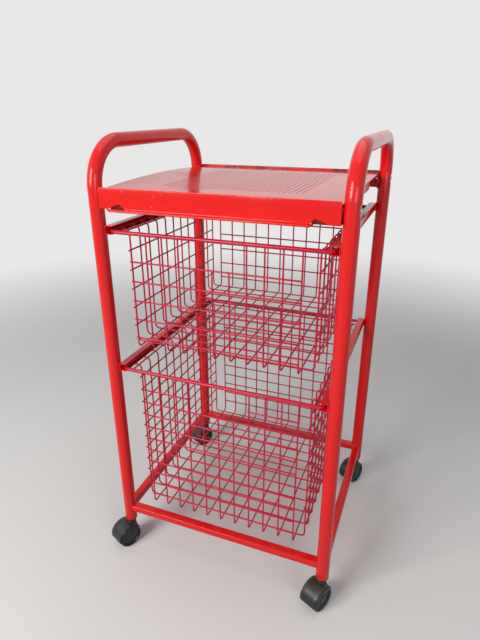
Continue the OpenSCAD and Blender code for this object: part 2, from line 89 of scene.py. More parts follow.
NUT_DEPTH = 0.004
STEM_R = 0.004


def centred(node):
    """A node's lowest and highest corners, about MIDDLE."""
    low, high = corners(node)
    return low - MIDDLE, high - MIDDLE


def colour(name, description, default):
    """A colour that a user may change."""
    return FloatVectorProperty(name=name, description=description, default=default,
                               subtype="COLOR", size=3, min=0, max=1)


def length(name, description, millimetres):
    """A length that a user may change."""
    return FloatProperty(name=name, description=description, default=millimetres * MM,
                         min=0.0, subtype="DISTANCE", unit="LENGTH", precision=5)


def angle(name, description, degrees):
    """An angle that a user may change."""
    return FloatProperty(name=name, description=description, default=math.radians(degrees),
                         subtype="ANGLE", unit="ROTATION")


class TrolleySizes(bpy.types.PropertyGroup):
    """Sizes of the trolley's pieces that its frame doesn't give."""

    bend_radius: length("Handle bend", "Centre-line radius of the handle bends", 74)
    tube_wall: length("Tube wall", "Wall of the side-frame tube", 1.2)
    dimple_height: length("Dimple height", "Height of the hollow for each tray screw", 17)
    dimple_depth: length("Dimple depth", "Depth of the hollow for each tray screw", 2)
    screw_head: length("Screw head", "Height of a tray screw's head", 2)
    rail_corner: length("Rail corner", "Corner radius of the base rails", 1.8)
    weld_bead: length("Weld bead", "Radius of the weld beads at the rails' ends", 1.1)
    sheet: length("Tray sheet", "Thickness of the tray's sheet steel", 1)
    rim_fold: length("Rim fold", "Thickness of the folded rim along the tray's edges", 2)
    lip_out: length("Lip", "How far the lip stands out from the flange", 8)
    lip_thickness: length("Lip thickness", "Thickness of the folded lip", 2)
    lip_bead: length("Lip bead", "Thickness of the rolled bead along the lip's nose", 3.6)
    lip_inset: length("Lip inset", "Distance from the tray's end to the lip", 15)
    lip_short: length("Lip shortening", "How much shorter the lip is at its right end", 24)
    lip_miter: FloatProperty(name="Lip slant", description="Slant of the lip's left end", default=1.4)
    notch_width: length("Notch width", "Width of the V-notches in the flanges", 27)
    notch_height: length("Notch height", "Height of the V-notches", 9)
    notch_inset: length("Notch inset", "Distance from the tray's end to a notch", 30.5)
    notch_stretch: length("Notch stretch", "How much wider the left notches have been torn", 6)
    side_flange: length("Side flange", "Length of the tray's side flanges", 119)
    side_flange_drop: length("Side flange drop", "Depth of the tray's side flanges", 15)
    edge_bow: length("Edge bow", "How far the tray's left edge is bent up in the middle", 7)
    runner_sheet: length("Runner sheet", "Thickness of the runners' sheet steel", 1.2)
    wire_bend: length("Wire bend", "Centre-line bend radius of the mesh wires", 8)
    rim_corner: length("Rim corner", "Plan corner radius of the basket rims", 14)
    wall_inset: length("Wall inset", "From a rim's side wire to the basket's wall", 25)
    long_edge: length("Long wire edge", "From the side wall to the first front-to-back wire", 18)
    cross_edge: length("Cross wire edge", "From the front wall to the first side-to-side wire", 19)
    side_lift: length("Side row lift", "How much higher the side rows lie", 13)
    castor_trail: length("Castor trail", "How far the axle trails behind the stem", 16)
    notch_push: angle("Notch push", "Angle to which the sheet of a notch is pushed in", 40)
    hood_front: angle("Hood front", "Angle of the hood's front edge below the axle", 12)
    hood_rear: angle("Hood rear", "Angle of the hood's rear edge above the axle", 26)
    castor_turn: angle("Castor turn", "Angle of the castors about their stems", 25)
    long_count: IntProperty(name="Long wires", description="Number of front-to-back wires", default=11, min=3)
    cross_count: IntProperty(name="Cross wires", description="Number of side-to-side wires", default=12, min=3)


class TrolleyColours(bpy.types.PropertyGroup):
    """Colours of the trolley's finishes, and of the stage."""

    enamel: colour("Frame enamel", "Gloss red of the tubes, rails and runners", (0.76, 0.007, 0.006))
    enamel_dull: colour("Faded enamel", "Where the enamel is faded or worn thin", (0.66, 0.040, 0.030))
    coating: colour("Basket coating", "Crimson of the basket wires", (0.56, 0.006, 0.040))
    tray_dust: colour("Tray dust", "Dry film of dirt on the tray's top", (0.64, 0.13, 0.08))
    tarnish: colour("Tarnish", "Brownish wear along the tray's rear rim", (0.26, 0.085, 0.055))
    # Colour of the pale specks painted on the tray's front, towards the left.
    fleck: colour("Fleck", "Pale dried splashes on the tray's front flange", (0.85, 0.42, 0.36))
    # Besides real primer, this dark colour is painted as shade on the tray: in its dimples and on the sheet behind
    # the flanges near their foot.
    primer_and_shade: colour("Primer", "Primer and old steel under chipped enamel", (0.10, 0.045, 0.035))
    hood: colour("Castor plastic", "Charcoal of the castor hoods", (0.017, 0.017, 0.0175))
    wheel: colour("Wheel plastic", "Black of the wheels", (0.010, 0.010, 0.011))
    grime: colour("Grime", "Dry dirt in the corners of the castors", (0.085, 0.065, 0.045))
    zinc: colour("Zinc", "Plated screws, nuts, stems and axles", (0.55, 0.55, 0.56))
    floor: colour("Floor", "The pale floor", (0.80, 0.80, 0.79))
    backdrop: colour("Backdrop", "The pale backdrop", (0.80, 0.81, 0.80))


# ---------- shapes ----------


class Solid:
    """The points and faces of one piece, gathered shell by shell, in metres about MIDDLE."""

    def __init__(self):
        self.points, self.faces, self.count = [], [], 0

    def add(self, points, faces):
        points = np.asarray(points, float).reshape(-1, 3)
        self.points.append(points)
        self.faces += [tuple(i + self.count for i in face) for face in faces]
        self.count += len(points)

    def loft(self, rings, loop=False, paired=False):
        """Skins a list of equal closed rings. Paired caps join each point to its mirror, for thin sections."""
        rings = np.asarray(rings, float)
        rows, n = rings.shape[:2]
        faces = []
        for a in range(rows if loop else rows - 1):
            b = (a + 1) % rows
            faces += [(a * n + i, a * n + (i + 1) % n, b * n + (i + 1) % n, b * n + i) for i in range(n)]
        if not loop:
            last = (rows - 1) * n
            if paired:
                for base, turn in ((0, -1), (last, 1)):
                    for i in range(n // 2 - 1):
                        face = (base + i, base + i + 1, base + n - 2 - i, base + n - 1 - i)
                        faces.append(face[::turn])
            else:
                faces.append(tuple(range(n - 1, -1, -1)))
                faces.append(tuple(range(last, last + n)))
        self.add(rings.reshape(-1, 3), faces)

    def turned(self, profile, steps, place, axis="z"):
        """A solid of revolution from a closed profile of (radius, height), then put in its place."""
        r, h = np.asarray(profile, float).T
        rings = [about(axis, r * math.cos(a), r * math.sin(a), h) for a in 2 * math.pi * np.arange(steps) / steps]
        self.loft(place(np.array(rings)), loop=True)


def about(axis, across, along, height):
    """Points from their two distances off an axis, X or Z, and their height on it."""
    return np.stack([across, along, height] if axis == "z" else [height, across, along], 1)


def circle(axis, radius, height, sides):
    """A ring of points about an axis. Radius and height are one number or one for each point."""
    a = 2 * math.pi * np.arange(sides) / sides
    return about(axis, radius * np.cos(a), radius * np.sin(a), np.broadcast_to(height, sides))


def held(value):
    """The value, or the nearer of 0 and 1 when it lies outside them."""
    return min(1.0, max(0.0, value))


def bend_path(points, radius, steps=6):
    """A chain of points with each inner corner rounded."""
    points = [np.asarray(p, float) for p in points]
    path = [points[0]]
    for before, corner, after in zip(points, points[1:], points[2:]):
        into, out = before - corner, after - corner
        into, out = into / np.linalg.norm(into), out / np.linalg.norm(out)
        half = math.acos(np.clip(into @ out, -1, 1)) / 2
        trim = radius / math.tan(half)
        centre = corner + (into + out) / np.linalg.norm(into + out) * radius / math.sin(half)
        start, end = corner + into * trim, corner + out * trim
        a, b = start - centre, end - centre
        sweep = math.acos(np.clip(a @ b / radius**2, -1, 1))
        for k in range(steps + 1):
            t = k / steps
            path.append(centre + (a * math.sin((1 - t) * sweep) + b * math.sin(t * sweep)) / math.sin(sweep))
    path.append(points[-1])
    return np.array(path)


def spaced(path, gap):
    """The same path with a point at least every gap."""
    found = [path[0]]
    for a, b in zip(path, path[1:]):
        parts = max(1, math.ceil(np.linalg.norm(b - a) / gap))
        found += [a + (b - a) * k / parts for k in range(1, parts + 1)]
    return np.array(found)


def rod(solid, path, radius, sides=12, round_ends=0.0, loop=False):
    """A round rod along a path. Radius is one number or one for each point."""
    path = np.asarray(path, float)
    rows = len(path)
    radii = np.broadcast_to(radius, rows).astype(float)
    ahead = np.roll(path, -1, 0) - path
    if loop:
        tangents = ahead + np.roll(ahead, 1, 0)
    else:
        ahead[-1] = ahead[-2]
        tangents = ahead.copy()
        tangents[1:] = ahead[1:] / np.linalg.norm(ahead[1:], axis=1)[:, None] \
            + ahead[:-1] / np.linalg.norm(ahead[:-1], axis=1)[:, None]
    tangents /= np.linalg.norm(tangents, axis=1)[:, None]
    side = np.cross(tangents[0], [0.31, 0.17, 0.93] if abs(tangents[0][2]) < 0.9 else [1, 0, 0])
    angles = 2 * math.pi * np.arange(sides) / sides
    frames = []
    for t in tangents:
        side = side - t * (side @ t)
        side = side / np.linalg.norm(side)
        frames.append((side, np.cross(t, side)))
    if loop:
        turn = math.atan2(frames[0][0] @ frames[-1][1], frames[0][0] @ frames[-1][0])

    def around(k, a, share=1.0):
        u, v = frames[k]
        return path[k] + radii[k] * share * (np.cos(a)[:, None] * u + np.sin(a)[:, None] * v)

    rings = [around(k, angles + (turn * k / rows if loop else 0)) for k in range(rows)]
    if round_ends and not loop:
        ends = []
        for k, inward in ((0, tangents[0] * round_ends), (-1, -tangents[-1] * round_ends)):
            rings[k] = rings[k] + inward
            ends.append([around(k, angles, math.sin(f)) + inward * (1 - math.cos(f)) for f in (0.5, 1.05)])
        rings = ends[0] + rings + ends[1][::-1]
    solid.loft(rings, loop=loop)


def nugget(solid, centre, across):
    """The small swelling where two wires are welded. It is flatter along the axis that points across the joint."""
    radii = np.full(3, 0.0018)
    radii[across] = 0.0012
    solid.loft([centre + radii * circle("z", math.sin(f), math.cos(f), 8) for f in (0.35, 0.9, 1.57, 2.24, 2.79)])


def straight(solid, start, end, radius):
    """A straight wire with rounded ends."""
    rod(solid, spaced(np.array([start, end]), WIRE_STEP), radius, round_ends=WIRE_ROUND)


def wobble(x, y, z=0.0):
    """A smooth value from -1 to 1 that drifts over about a tenth of a metre."""
    return (np.sin(31 * x + 12 * y + 1.3) + np.sin(-17 * x + 41 * y + 23 * z + 0.4)
            + np.sin(47 * x - 29 * y + 9 * z + 4.1)) / 3


def piece(name, solid, body, nodes, finish, sharp=40.0):
    """Makes the object, rides it on its body and lets it stand for its nodes."""
    mesh = bpy.data.meshes.new(name)
    mesh.from_pydata((np.concatenate(solid.points) + MIDDLE).tolist(), [], solid.faces)
    shape = bmesh.new()
    shape.from_mesh(mesh)
    bmesh.ops.recalc_face_normals(shape, faces=shape.faces)
    loose = [e for e in shape.edges if not e.is_manifold]
    shape.to_mesh(mesh)
    shape.free()
    if loose:
        raise RuntimeError(f"{name} isn't closed: {len(loose)} open edges")
    mesh.polygons.foreach_set("use_smooth", [True] * len(mesh.polygons))
    mesh.set_sharp_from_angle(angle=math.radians(sharp))
    obj = bpy.data.objects.new(name, mesh)
    bpy.context.scene.collection.objects.link(obj)
    mesh.materials.append(finish)
    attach(obj, body)
    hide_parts(*nodes)


# ---------- finishes ----------


def add_node(tree, kind, settings=None, sockets=None):
    """Adds a node to a tree: its type, its settings, and the values or links of its sockets."""
    made = tree.nodes.new(kind)
    for key, value in (settings or {}).items():
        setattr(made, key, value)
    for key, value in (sockets or {}).items():
        if isinstance(value, Num):
            value = value.socket
        if isinstance(value, bpy.types.NodeSocket):
            tree.links.new(value, made.inputs[key])
        else:
            made.inputs[key].default_value = value
    return made


class Num:
    """A value in a node tree. Arithmetic on it adds Math nodes."""

    def __init__(self, tree, socket):
        self.tree, self.socket = tree, socket

    def math(self, operation, *values):
        made = add_node(self.tree, "ShaderNodeMath", {"operation": operation}, dict(enumerate(values)))
        return Num(self.tree, made.outputs[0])

    def __add__(self, other):
        return self.math("ADD", self, other)

    def __sub__(self, other):
        return self.math("SUBTRACT", self, other)

    def __rsub__(self, other):
        return self.math("SUBTRACT", other, self)

    def __mul__(self, other):
        return self.math("MULTIPLY", self, other)

    def __lt__(self, other):
        return self.math("LESS_THAN", self, other)

    def __gt__(self, other):
        return self.math("GREATER_THAN", self, other)

    def __abs__(self):
        return self.math("ABSOLUTE", self)

    __radd__, __rmul__ = __add__, __mul__

    def sine(self):
        return self.math("SINE", self)

    def most(self, other):
        return self.math("MAXIMUM", self, other)

    def power(self, other):
        return self.math("POWER", self, other)

    def ramp(self, start, end):
        """0 below start, 1 above end, smooth between."""
        made = add_node(self.tree, "ShaderNodeMapRange", {"interpolation_type": "SMOOTHSTEP"},
                        {0: self, 1: start, 2: end, 3: 0, 4: 1})
        return Num(self.tree, made.outputs[0])


def seen_directly(tree):
    """1 where a camera, reflection or see-through ray meets the surface, 0 where it only lights other things."""
    path = add_node(tree, "ShaderNodeLightPath")
    camera, glossy, through = (Num(tree, path.outputs[f"Is {kind} Ray"])
                               for kind in ("Camera", "Glossy", "Transmission"))
    return camera.most(glossy).most(through)


class Finish:
    """The node tree of one material."""

    def __init__(self, name):
        self.material = bpy.data.materials.new(name)
        self.material.use_nodes = True
        self.tree = self.material.node_tree
        self.tree.nodes.clear()
        self.place = self.node("ShaderNodeTexCoord").outputs["Object"]
        split = self.node("ShaderNodeSeparateXYZ", {}, {0: self.place})
        self.x, self.y, self.z = (Num(self.tree, split.outputs[i]) for i in range(3))

    def node(self, kind, settings=None, sockets=None):
        return add_node(self.tree, kind, settings, sockets)

    def noise(self, scale, detail=3.0, rough=0.55, stretch=(1, 1, 1)):
        """Soft random noise from 0 to 1."""
        place = self.place
        if stretch != (1, 1, 1):
            place = self.node("ShaderNodeVectorMath", {"operation": "MULTIPLY"},
                              {0: self.place, 1: stretch}).outputs[0]
        made = self.node("ShaderNodeTexNoise", {}, {
            "Vector": place, "Scale": scale, "Detail": detail, "Roughness": rough})
        return Num(self.tree, made.outputs["Fac"])

    def cells(self, scale):
        """Distance to the nearest of some scattered points, and that point's own value."""
        made = self.node("ShaderNodeTexVoronoi", {}, {"Vector": self.place, "Scale": scale})
        split = self.node("ShaderNodeSeparateColor", {}, {0: made.outputs["Color"]})
        return Num(self.tree, made.outputs["Distance"]), Num(self.tree, split.outputs[0])

    def facing_up(self):
        """1 where the surface faces up, -1 where it faces down."""
        normal = self.node("ShaderNodeNewGeometry").outputs["Normal"]
        split = self.node("ShaderNodeSeparateXYZ", {}, {0: normal})
        return Num(self.tree, split.outputs[2])

    def blend(self, amount, a, b):
        """Colour a turning into colour b by amount."""
        a, b = (c if isinstance(c, bpy.types.NodeSocket) else (*c, 1) for c in (a, b))
        return self.node("ShaderNodeMix", {"data_type": "RGBA"}, {0: amount, 6: a, 7: b}).outputs[2]

    def done(self, base, roughness, relief, relief_height, **constant):
        """The finished material. Constant gives the shader's other sockets."""
        bump = self.node("ShaderNodeBump", {}, {"Height": relief, "Distance": relief_height, "Strength": 1.0})
        shader = self.node("ShaderNodeBsdfPrincipled", {}, {
            "Base Color": base, "Roughness": roughness, "Normal": bump.outputs[0], **constant})
        self.node("ShaderNodeOutputMaterial", {}, {0: shader.outputs[0]})
        return self.material


def enamel(name, colours, chips=0.5, pressed=False):
    """Gloss red enamel with orange peel, scuffs and chips. Pressed adds the tray's small dimples, dirt and wear, and
    painted shade in the dimples and behind the flanges near their foot.
    """
    f = Finish(name)
    drift, fine, peel = f.noise(6, 3), f.noise(900, 2), f.noise(260, 2)
    worn = (drift * 0.65 + f.noise(38, 3, 0.6) * 0.35).ramp(0.5, 0.7)
    fleck = f.noise(210, 3, 0.7).ramp(0.66, 0.74) * worn
    base = f.blend(worn * 0.22 + fleck * 0.25, colours.enamel, colours.enamel_dull)
    spot, pick = f.cells(150)
    chip = (spot + f.noise(420, 3) * 0.4 < 0.36) * (pick < 0.04 * chips) * (f.noise(14, 2) > 0.47)
    relief = peel * (0.10 if pressed else 0.28) + fine * 0.04 - chip
    rough = 0.17 + worn * 0.12 + chip * 0.35
    coat = 0.25
    if pressed:
        u, v = f.x - float(MIDDLE[0]), f.y - float(MIDDLE[1])
        top = f.facing_up().ramp(0.7, 0.95)
        half_x, half_y, soft, pitch = 0.126, 0.1345, 0.003, 0.0097
        inside = (half_x - abs(u + 0.001)).ramp(0, soft) * (half_y - abs(v - 0.0025)).ramp(0, soft) * top
        step = 2 * math.pi / pitch
        row, column = ((u - 0.12) * step).sine(), (v * step).sine()
        dimple = row.ramp(0.0, 0.6) * column.ramp(-0.4, 0.4) * inside
        relief = relief - dimple * 1.4
        dirt = top * (0.55 * f.noise(11, 4, 0.6).ramp(0.40, 0.68) + 0.5 * (-0.02 - u).ramp(0.0, 0.2))
        base = f.blend(dirt * 0.5, base, colours.tray_dust)
        face, along_rim = FACE_Y, (0.35, 1, 1)
        # Painted shade: the sheet behind the flanges near their foot, with the pushed-in notch tabs, is painted dark
        # with the primer colour where shade falls there, and so is each dimple.
        painted_shade_behind_flange = (abs(v) < face - 0.0013) * (f.z < float(TRAY_LOW[2]) + 0.0125)
        base = f.blend((dimple * 0.85).most(painted_shade_behind_flange * 0.75), base, colours.primer_and_shade)
        rear = (abs(v) - (face - 0.004)).ramp(-0.001, 0.0005) * (v > 0.0)
        tarnish = rear * (f.z > TRAY_TOP_Z + 0.001) * f.noise(60, 3, 0.7, along_rim).ramp(0.3, 0.62)
        base = f.blend(tarnish * 0.9, base, colours.tarnish)
        bare = rear * (f.noise(95, 3, 0.7, along_rim) > 0.53) * (f.noise(9, 1) > 0.42) \
            * (f.z > TRAY_TOP_Z + 0.0005)
        specks = (spot < 0.16) * (pick < 0.035) * top
        chip = chip.most(bare).most(specks)
        # Pale specks painted with the fleck colour on the tray's front faces that don't face up, more of them towards
        # the left.
        pale_specks = (spot < 0.2) * (pick > 0.86) * (v < 0.0) * (1 - top) * (-0.03 - u).ramp(0.0, 0.12)
        base = f.blend(pale_specks * 0.45, base, colours.fleck)
        coat = 0.2 + top * 0.16 * (1 - dirt * 0.3) - dimple * 0.36 - chip * 0.2
        rough = rough + dimple * 0.25
    base = f.blend(chip, base, colours.primer_and_shade)
    return f.done(base, rough, relief, 0.12 * MM, **{
        "Coat Weight": coat, "Coat Roughness": 0.05, "IOR": 1.5, "Specular IOR Level": 0.22})


def wire_coating(name, colours):
    """Glossy plastic coating on wire, a little uneven, with a few bare specks."""
    f = Finish(name)
    drift, fine = f.noise(9, 3), f.noise(700, 2)
    shade = tuple(0.6 * c for c in colours.coating)
    base = f.blend(drift.ramp(0.4, 0.75) * 0.35, colours.coating, shade)
    spot, pick = f.cells(150)
    base = f.blend((spot < 0.22) * (pick < 0.015), base, colours.primer_and_shade)
    return f.done(base, 0.22 + drift * 0.12, fine * 0.3 + f.noise(250, 2) * 0.7, 0.06 * MM, **{
        "Coat Weight": 0.18, "Coat Roughness": 0.08, "IOR": 1.5, "Specular IOR Level": 0.22})


def moulded(name, colours, plastic, gloss, grime):
    """Moulded plastic with a fine grain, light scratches and dirt gathered on top."""
    f = Finish(name)
    grain, drift = f.noise(1400, 2), f.noise(45, 4)
    dust = (drift * 0.7 + f.facing_up().ramp(0.2, 1.0) * 0.35).ramp(0.5, 0.85) * grime
    scratch = f.noise(160, 4, 0.75, (1, 0.2, 1)).ramp(0.62, 0.72)
    base = f.blend(dust, plastic, colours.grime)
    base = f.blend(scratch * 0.25, base, tuple(c * 2.4 + 0.01 for c in plastic))
    return f.done(base, gloss + dust * 0.25 + grain * 0.06 + scratch * 0.1, grain + drift * 0.6, 0.06 * MM, IOR=1.48)


def zinc_plate(name, colours):
    """Dull bright zinc, clouded in places."""
    f = Finish(name)
    drift = f.noise(120, 4)
    base = f.blend(drift.ramp(0.45, 0.7), colours.zinc, (0.30, 0.28, 0.24))
    return f.done(base, 0.26 + drift * 0.25, f.noise(900, 2), 0.03 * MM, Metallic=0.95)


def finish_named(name, maker, *details):
    """The finish of that name, made the first time that it is asked for."""
    return bpy.data.materials.get(name) or maker(name, *details)


# ---------- the pieces ----------


def tube_stations(sizes):
    """Stations (y, z, tangent y, tangent z) along a side frame, from front foot to rear foot."""
    axis_z, bend = HANDLE_Z - TUBE_R, sizes.bend_radius
    near_screw, steps = np.linspace(-0.0125, 0.0125, 34) + SCREW_Z, 24
    leg = np.linspace(FOOT_Z, axis_z - bend, 22)
    leg = np.unique(np.concatenate([leg, near_screw, [FOOT_Z + 0.0006, FOOT_Z + 0.0015]]))
    stations = [(-LEG_Y, z, 0.0, 1.0) for z in leg]
    for k in range(1, steps + 1):
        a = math.pi / 2 * k / steps
        stations.append((-LEG_Y + bend - bend * math.cos(a), axis_z - bend + bend * math.sin(a),
                         math.sin(a), math.cos(a)))
    top = [(y, axis_z, 1.0, 0.0) for y in np.linspace(-LEG_Y + bend, LEG_Y - bend, 12)[1:-1]]
    mirrored = [(-y, z, ty, -tz) for y, z, ty, tz in stations[::-1]]
    return stations + top + mirrored


def side_frame(side, sizes):
    """One bent tube: front leg, handle and rear leg, with a hollow for each tray screw."""
    stations = tube_stations(sizes)
    a = 2 * math.pi * np.arange(56) / 56
    hollow_r = (sizes.dimple_height**2 / 4 + sizes.dimple_depth**2) / (2 * sizes.dimple_depth)
    leg_top = HANDLE_Z - TUBE_R - sizes.bend_radius + 0.001
    soft, eased = 0.0006, 0.0005  # the hollow's rounded edge, and the tube's eased ends

    def rings(inset):
        """The tube's skin at a depth of inset in its wall."""
        radius = TUBE_R - inset
        made = []
        for y, z, ty, tz in stations:
            out, along = np.cos(a) * radius * side, np.sin(a) * radius
            if z < leg_top:
                depth = sizes.dimple_depth - hollow_r + math.sqrt(max(0.0, hollow_r**2 - (z - SCREW_Z) ** 2))
                limit = radius - depth
                sunk = -soft * np.log(np.exp(-out / soft) + math.exp(-limit / soft))
                out = np.where(out < 0, out, np.minimum(sunk, out))
            made.append(np.stack([side * LEG_X + out * side, y - along * tz, z + along * ty], 1))
        return made

    outer = rings(0.0)
    for k in (0, -1):
        middle = np.array([side * LEG_X, *stations[k][:2]])
        outer[k] = middle + (outer[k] - middle) * (1 - eased / TUBE_R)
    solid = Solid()
    solid.loft(outer + rings(sizes.tube_wall)[::-1], loop=True)
    return solid


def coped_rail(solid, sizes, centre, along, half_span, half_w, half_h):
    """A box-section rail between two legs. Its ends are shaped to fit round them, with a weld bead on each."""
    across, up = np.array([-along[1], along[0], 0.0]), np.array([0.0, 0.0, 1.0])
    corner, bead = sizes.rail_corner, sizes.weld_bead
    top = [(-half_w + corner - corner * math.cos(f), half_h - corner + corner * math.sin(f))
           for f in np.linspace(0, math.pi / 2, 6)]
    flat = [(u, half_h) for u in np.linspace(-half_w + corner, half_w - corner, 9)[1:-1]]
    top = top + flat + [(-u, v) for u, v in top[::-1]]
    loop = np.array(top + [(u, -v) for u, v in top[::-1]])
    reach = half_span - np.sqrt((TUBE_R + TOUCH) ** 2 - loop[:, 0] ** 2)
    section = loop[:, :1] * across
    rings = []
    for t in np.linspace(-1, 1, 15):
        dent = 0.12 * MM * wobble(centre[0] + t * 0.2, centre[1], t)
        rings.append(centre + (t * reach)[:, None] * along + section + (loop[:, 1:] + dent * (1 - t * t)) * up)
    solid.loft(rings, paired=True)
    step, shortest = 0.0011, 0.0007  # how far apart the points of a bead lie
    for end in (-1, 1):
        seam = centre + (end * (reach - 0.2 * bead))[:, None] * along + section + loop[:, 1:] * up
        path = spaced(np.concatenate([seam, seam[:1]]), step)[:-1]
        keep = [0]
        for k in range(1, len(path)):
            if np.linalg.norm(path[k] - path[keep[-1]]) > shortest:
                keep.append(k)
        k = np.arange(len(keep))
        radii = bead * (0.86 + 0.14 * np.sin(k * 1.9) + 0.06 * np.sin(k * 0.37 + end))
        rod(solid, path[keep], radii, sides=8, loop=True)


def runner(solid, node, side, sizes):
    """A C-channel, its web against the legs and its open side to the middle, with four weld beads."""
    low, high = centred(node)
    web, tip = (high[0], low[0]) if side > 0 else (low[0], high[0])
    depth, flat, r = abs(web - tip), 0.6, SHEET_BEND

    def outline(gap):
        """The section of (x, z) at a depth of gap in the sheet, from the top flange's edge to the lower one's."""
        bends = [[(r + (r - gap) * math.cos(f), centre + (r - gap) * math.sin(f))
                  for f in np.linspace(start, start + math.pi / 2, 6)]
                 for centre, start in ((high[2] - r, math.pi / 2), (low[2] + r, math.pi))]
        section = [(depth, high[2] - gap), (depth * flat, high[2] - gap), *bends[0], (gap, (high[2] + low[2]) / 2),
                   *bends[1], (depth * flat, low[2] + gap), (depth, low[2] + gap)]
        return [(web - side * d, z) for d, z in section]

    x, z = np.array(outline(0.0) + outline(sizes.runner_sheet)[::-1]).T
    solid.loft([np.stack([x, np.full(len(x), y), z], 1) for y in np.linspace(low[1], high[1], 12)], paired=True)
    half, sink = 0.0035, 0.0003  # a weld bead's half length, and how deep it lies in the channel
    along = np.linspace(-half, half, 8)
    radii = 0.0010 + 0.0003 * np.sin(np.arange(8) * 1.7)
    for end in (-1, 1):
        for z in (high[2] - sink, low[2] + sink):
            path = [(side * (LEG_X - TUBE_R + 0.0002), end * LEG_Y + s, z) for s in along]
            rod(solid, path, radii, sides=8, round_ends=WIRE_ROUND)


def notch_marks(side, sizes):
    """Where a notch starts, has its tip and ends, outermost first."""
    outer = TRAY_X - sizes.notch_inset + sizes.notch_width / 2
    width = sizes.notch_width + (sizes.notch_stretch if side < 0 else 0.0)
    tip = 0.72  # the tip's place in the notch, from its outer end
    return side * outer, side * (outer - tip * width), side * (outer - width)


def notch_rise(x, sizes):
    """How far the flange's foot is cut up at x."""
    outer, tip, inner = (abs(m) for m in notch_marks(-1 if x < 0 else 1, sizes))
    x = abs(x)
    if x >= outer or x <= inner:
        return 0.0
    return sizes.notch_height * ((outer - x) / (outer - tip) if x > tip else (x - inner) / (tip - inner))


def tray_apron(solid, end, sizes):
    """The front or rear flange with its folded rim and the ears that turn back to the legs."""
    foot = TRAY_LOW[2] + sizes.lip_thickness
    face, t, r, ease = FACE_Y, sizes.sheet, SHEET_BEND, SHEET_EASE
    ear = [((-TRAY_X, y), (-1.0, 0.0), 0.0) for y in np.linspace(face - TUBE_R * 2, face - r, 6)]
    for f in np.linspace(0, math.pi / 2, 7)[1:-1]:
        ear.append(((-TRAY_X + r - r * math.cos(f), face - r + r * math.sin(f)), (-math.cos(f), math.sin(f)), 0.0))
    ends = [TRAY_X - d for d in (r, 0.0026, 0.0032, 0.0040, 0.006)]  # where the fold comes up to its thickness
    cuts, fold_run, middle_part = [], 0.004, 0.138
    for side in (-1, 1):
        outer, tip, inner = notch_marks(side, sizes)
        cuts += [outer, outer - side * TOUCH, tip + 0.0006, tip, tip - 0.0006, inner + side * TOUCH, inner]
    xs = sorted([-m for m in ends] + ends + cuts + list(np.linspace(-middle_part, middle_part, 27)))
    flange = [((x, face), (0.0, 1.0), held((TRAY_X - r - abs(x)) / fold_run)) for x in xs]
    rings = []
    for (x, y), (nx, ny), full in ear + flange + [((-x, y), (-nx, ny), 0.0) for (x, y), (nx, ny), _ in ear[::-1]]:
        thick = t + (sizes.rim_fold - t) * full
        low = foot + (notch_rise(x, sizes) if ny == 1.0 else 0.0)
        climb = held((ny - 0.3) / 0.7) if end < 0 else 1.0
        top = TRAY_TOP_Z + (TRAY_HIGH[2] - TRAY_TOP_Z) * climb * (2 - climb)
        bulge = 0.22 * MM * wobble(x, end * y) * full
        q = thick / 2
        roll = [(q * math.cos(f), top - q + q * math.sin(f)) for f in (0.45, 0.9, 1.3)]
        outer = [(ease, low), (0.0, low + ease), (0.0, low + (top - low) * 0.35), (0.0, low + (top - low) * 0.7),
                 (0.0, top - q)] + [(q - d, z) for d, z in roll]
        inner = [(t - ease, low), (t, low + ease), (t, low + (top - low) * 0.35), (t, TRAY_TOP_Z - t - q),
                 (thick, min(TRAY_TOP_Z, top - q) - 0.0002)] + [(q + d, z) for d, z in roll]
        ring = []
        for d, z in outer + inner[::-1]:
            sway = bulge * held((z - foot) / 0.02) * held((top - z) / 0.01)
            ring.append((x - nx * d, end * (y - ny * d + sway), z))
        rings.append(ring)
    solid.loft(rings, paired=True)


def tray_lip(solid, end, sizes):
    """The folded lip along the foot of a flange. Both ends are cut at a slant, and the right one stops short."""
    face, t = FACE_Y, sizes.sheet
    low, high = TRAY_LOW[2], TRAY_LOW[2] + sizes.lip_thickness
    q, reach, fillet = sizes.lip_bead / 2, sizes.lip_out, 0.0016
    nose = {f: (reach - q + q * math.cos(math.radians(f)), high - q + q * math.sin(math.radians(f)))
            for f in (90, 60, 35, 12, -12, -40, -70, -105, -140)}
    left, right = -TRAY_X + sizes.lip_inset, TRAY_X - sizes.lip_inset - sizes.lip_short
    marks = [left + 0.001, right - 0.001]
    for side in (-1, 1):
        outer, _, inner = notch_marks(side, sizes)
        marks += [mark + side * d for mark, sign in ((outer, -1), (inner, 1)) for d in (sign * 0.0002, sign * 0.0012)]
    rings = []
    for root in sorted(x for x in [*np.linspace(left, right, 31), *marks] if left <= x <= right):
        rise = fillet if notch_rise(root, sizes) == 0 else TOUCH
        under = [(-t, low), (-t * 0.3, low), (reach * 0.25, low), (reach - 2 * q, low)] \
            + [nose[f] for f in (-140, -105, -70, -40, -12)]
        upper = [(-t, high + rise), (0.0, high + rise)] \
            + [(fillet - fillet * math.cos(f), high + rise - rise * math.sin(f)) for f in (0.5, 1.0)] \
            + [(reach * 0.6, high)] + [nose[f] for f in (90, 60, 35, 12)]
        share = (root - left) / (right - left)
        ring = []
        for d, z in under + upper[::-1]:
            out = max(0.0, d)
            x = root + out * (sizes.lip_miter * (1 - share) - sizes.lip_miter / 2 * share)
            sag = 0.4 * MM * wobble(x, end * 0.2, 1.0) * out / reach * 4 * share * (1 - share)
            ring.append((x, end * (face + d), z + sag))
        rings.append(ring)
    solid.loft(rings, paired=True)


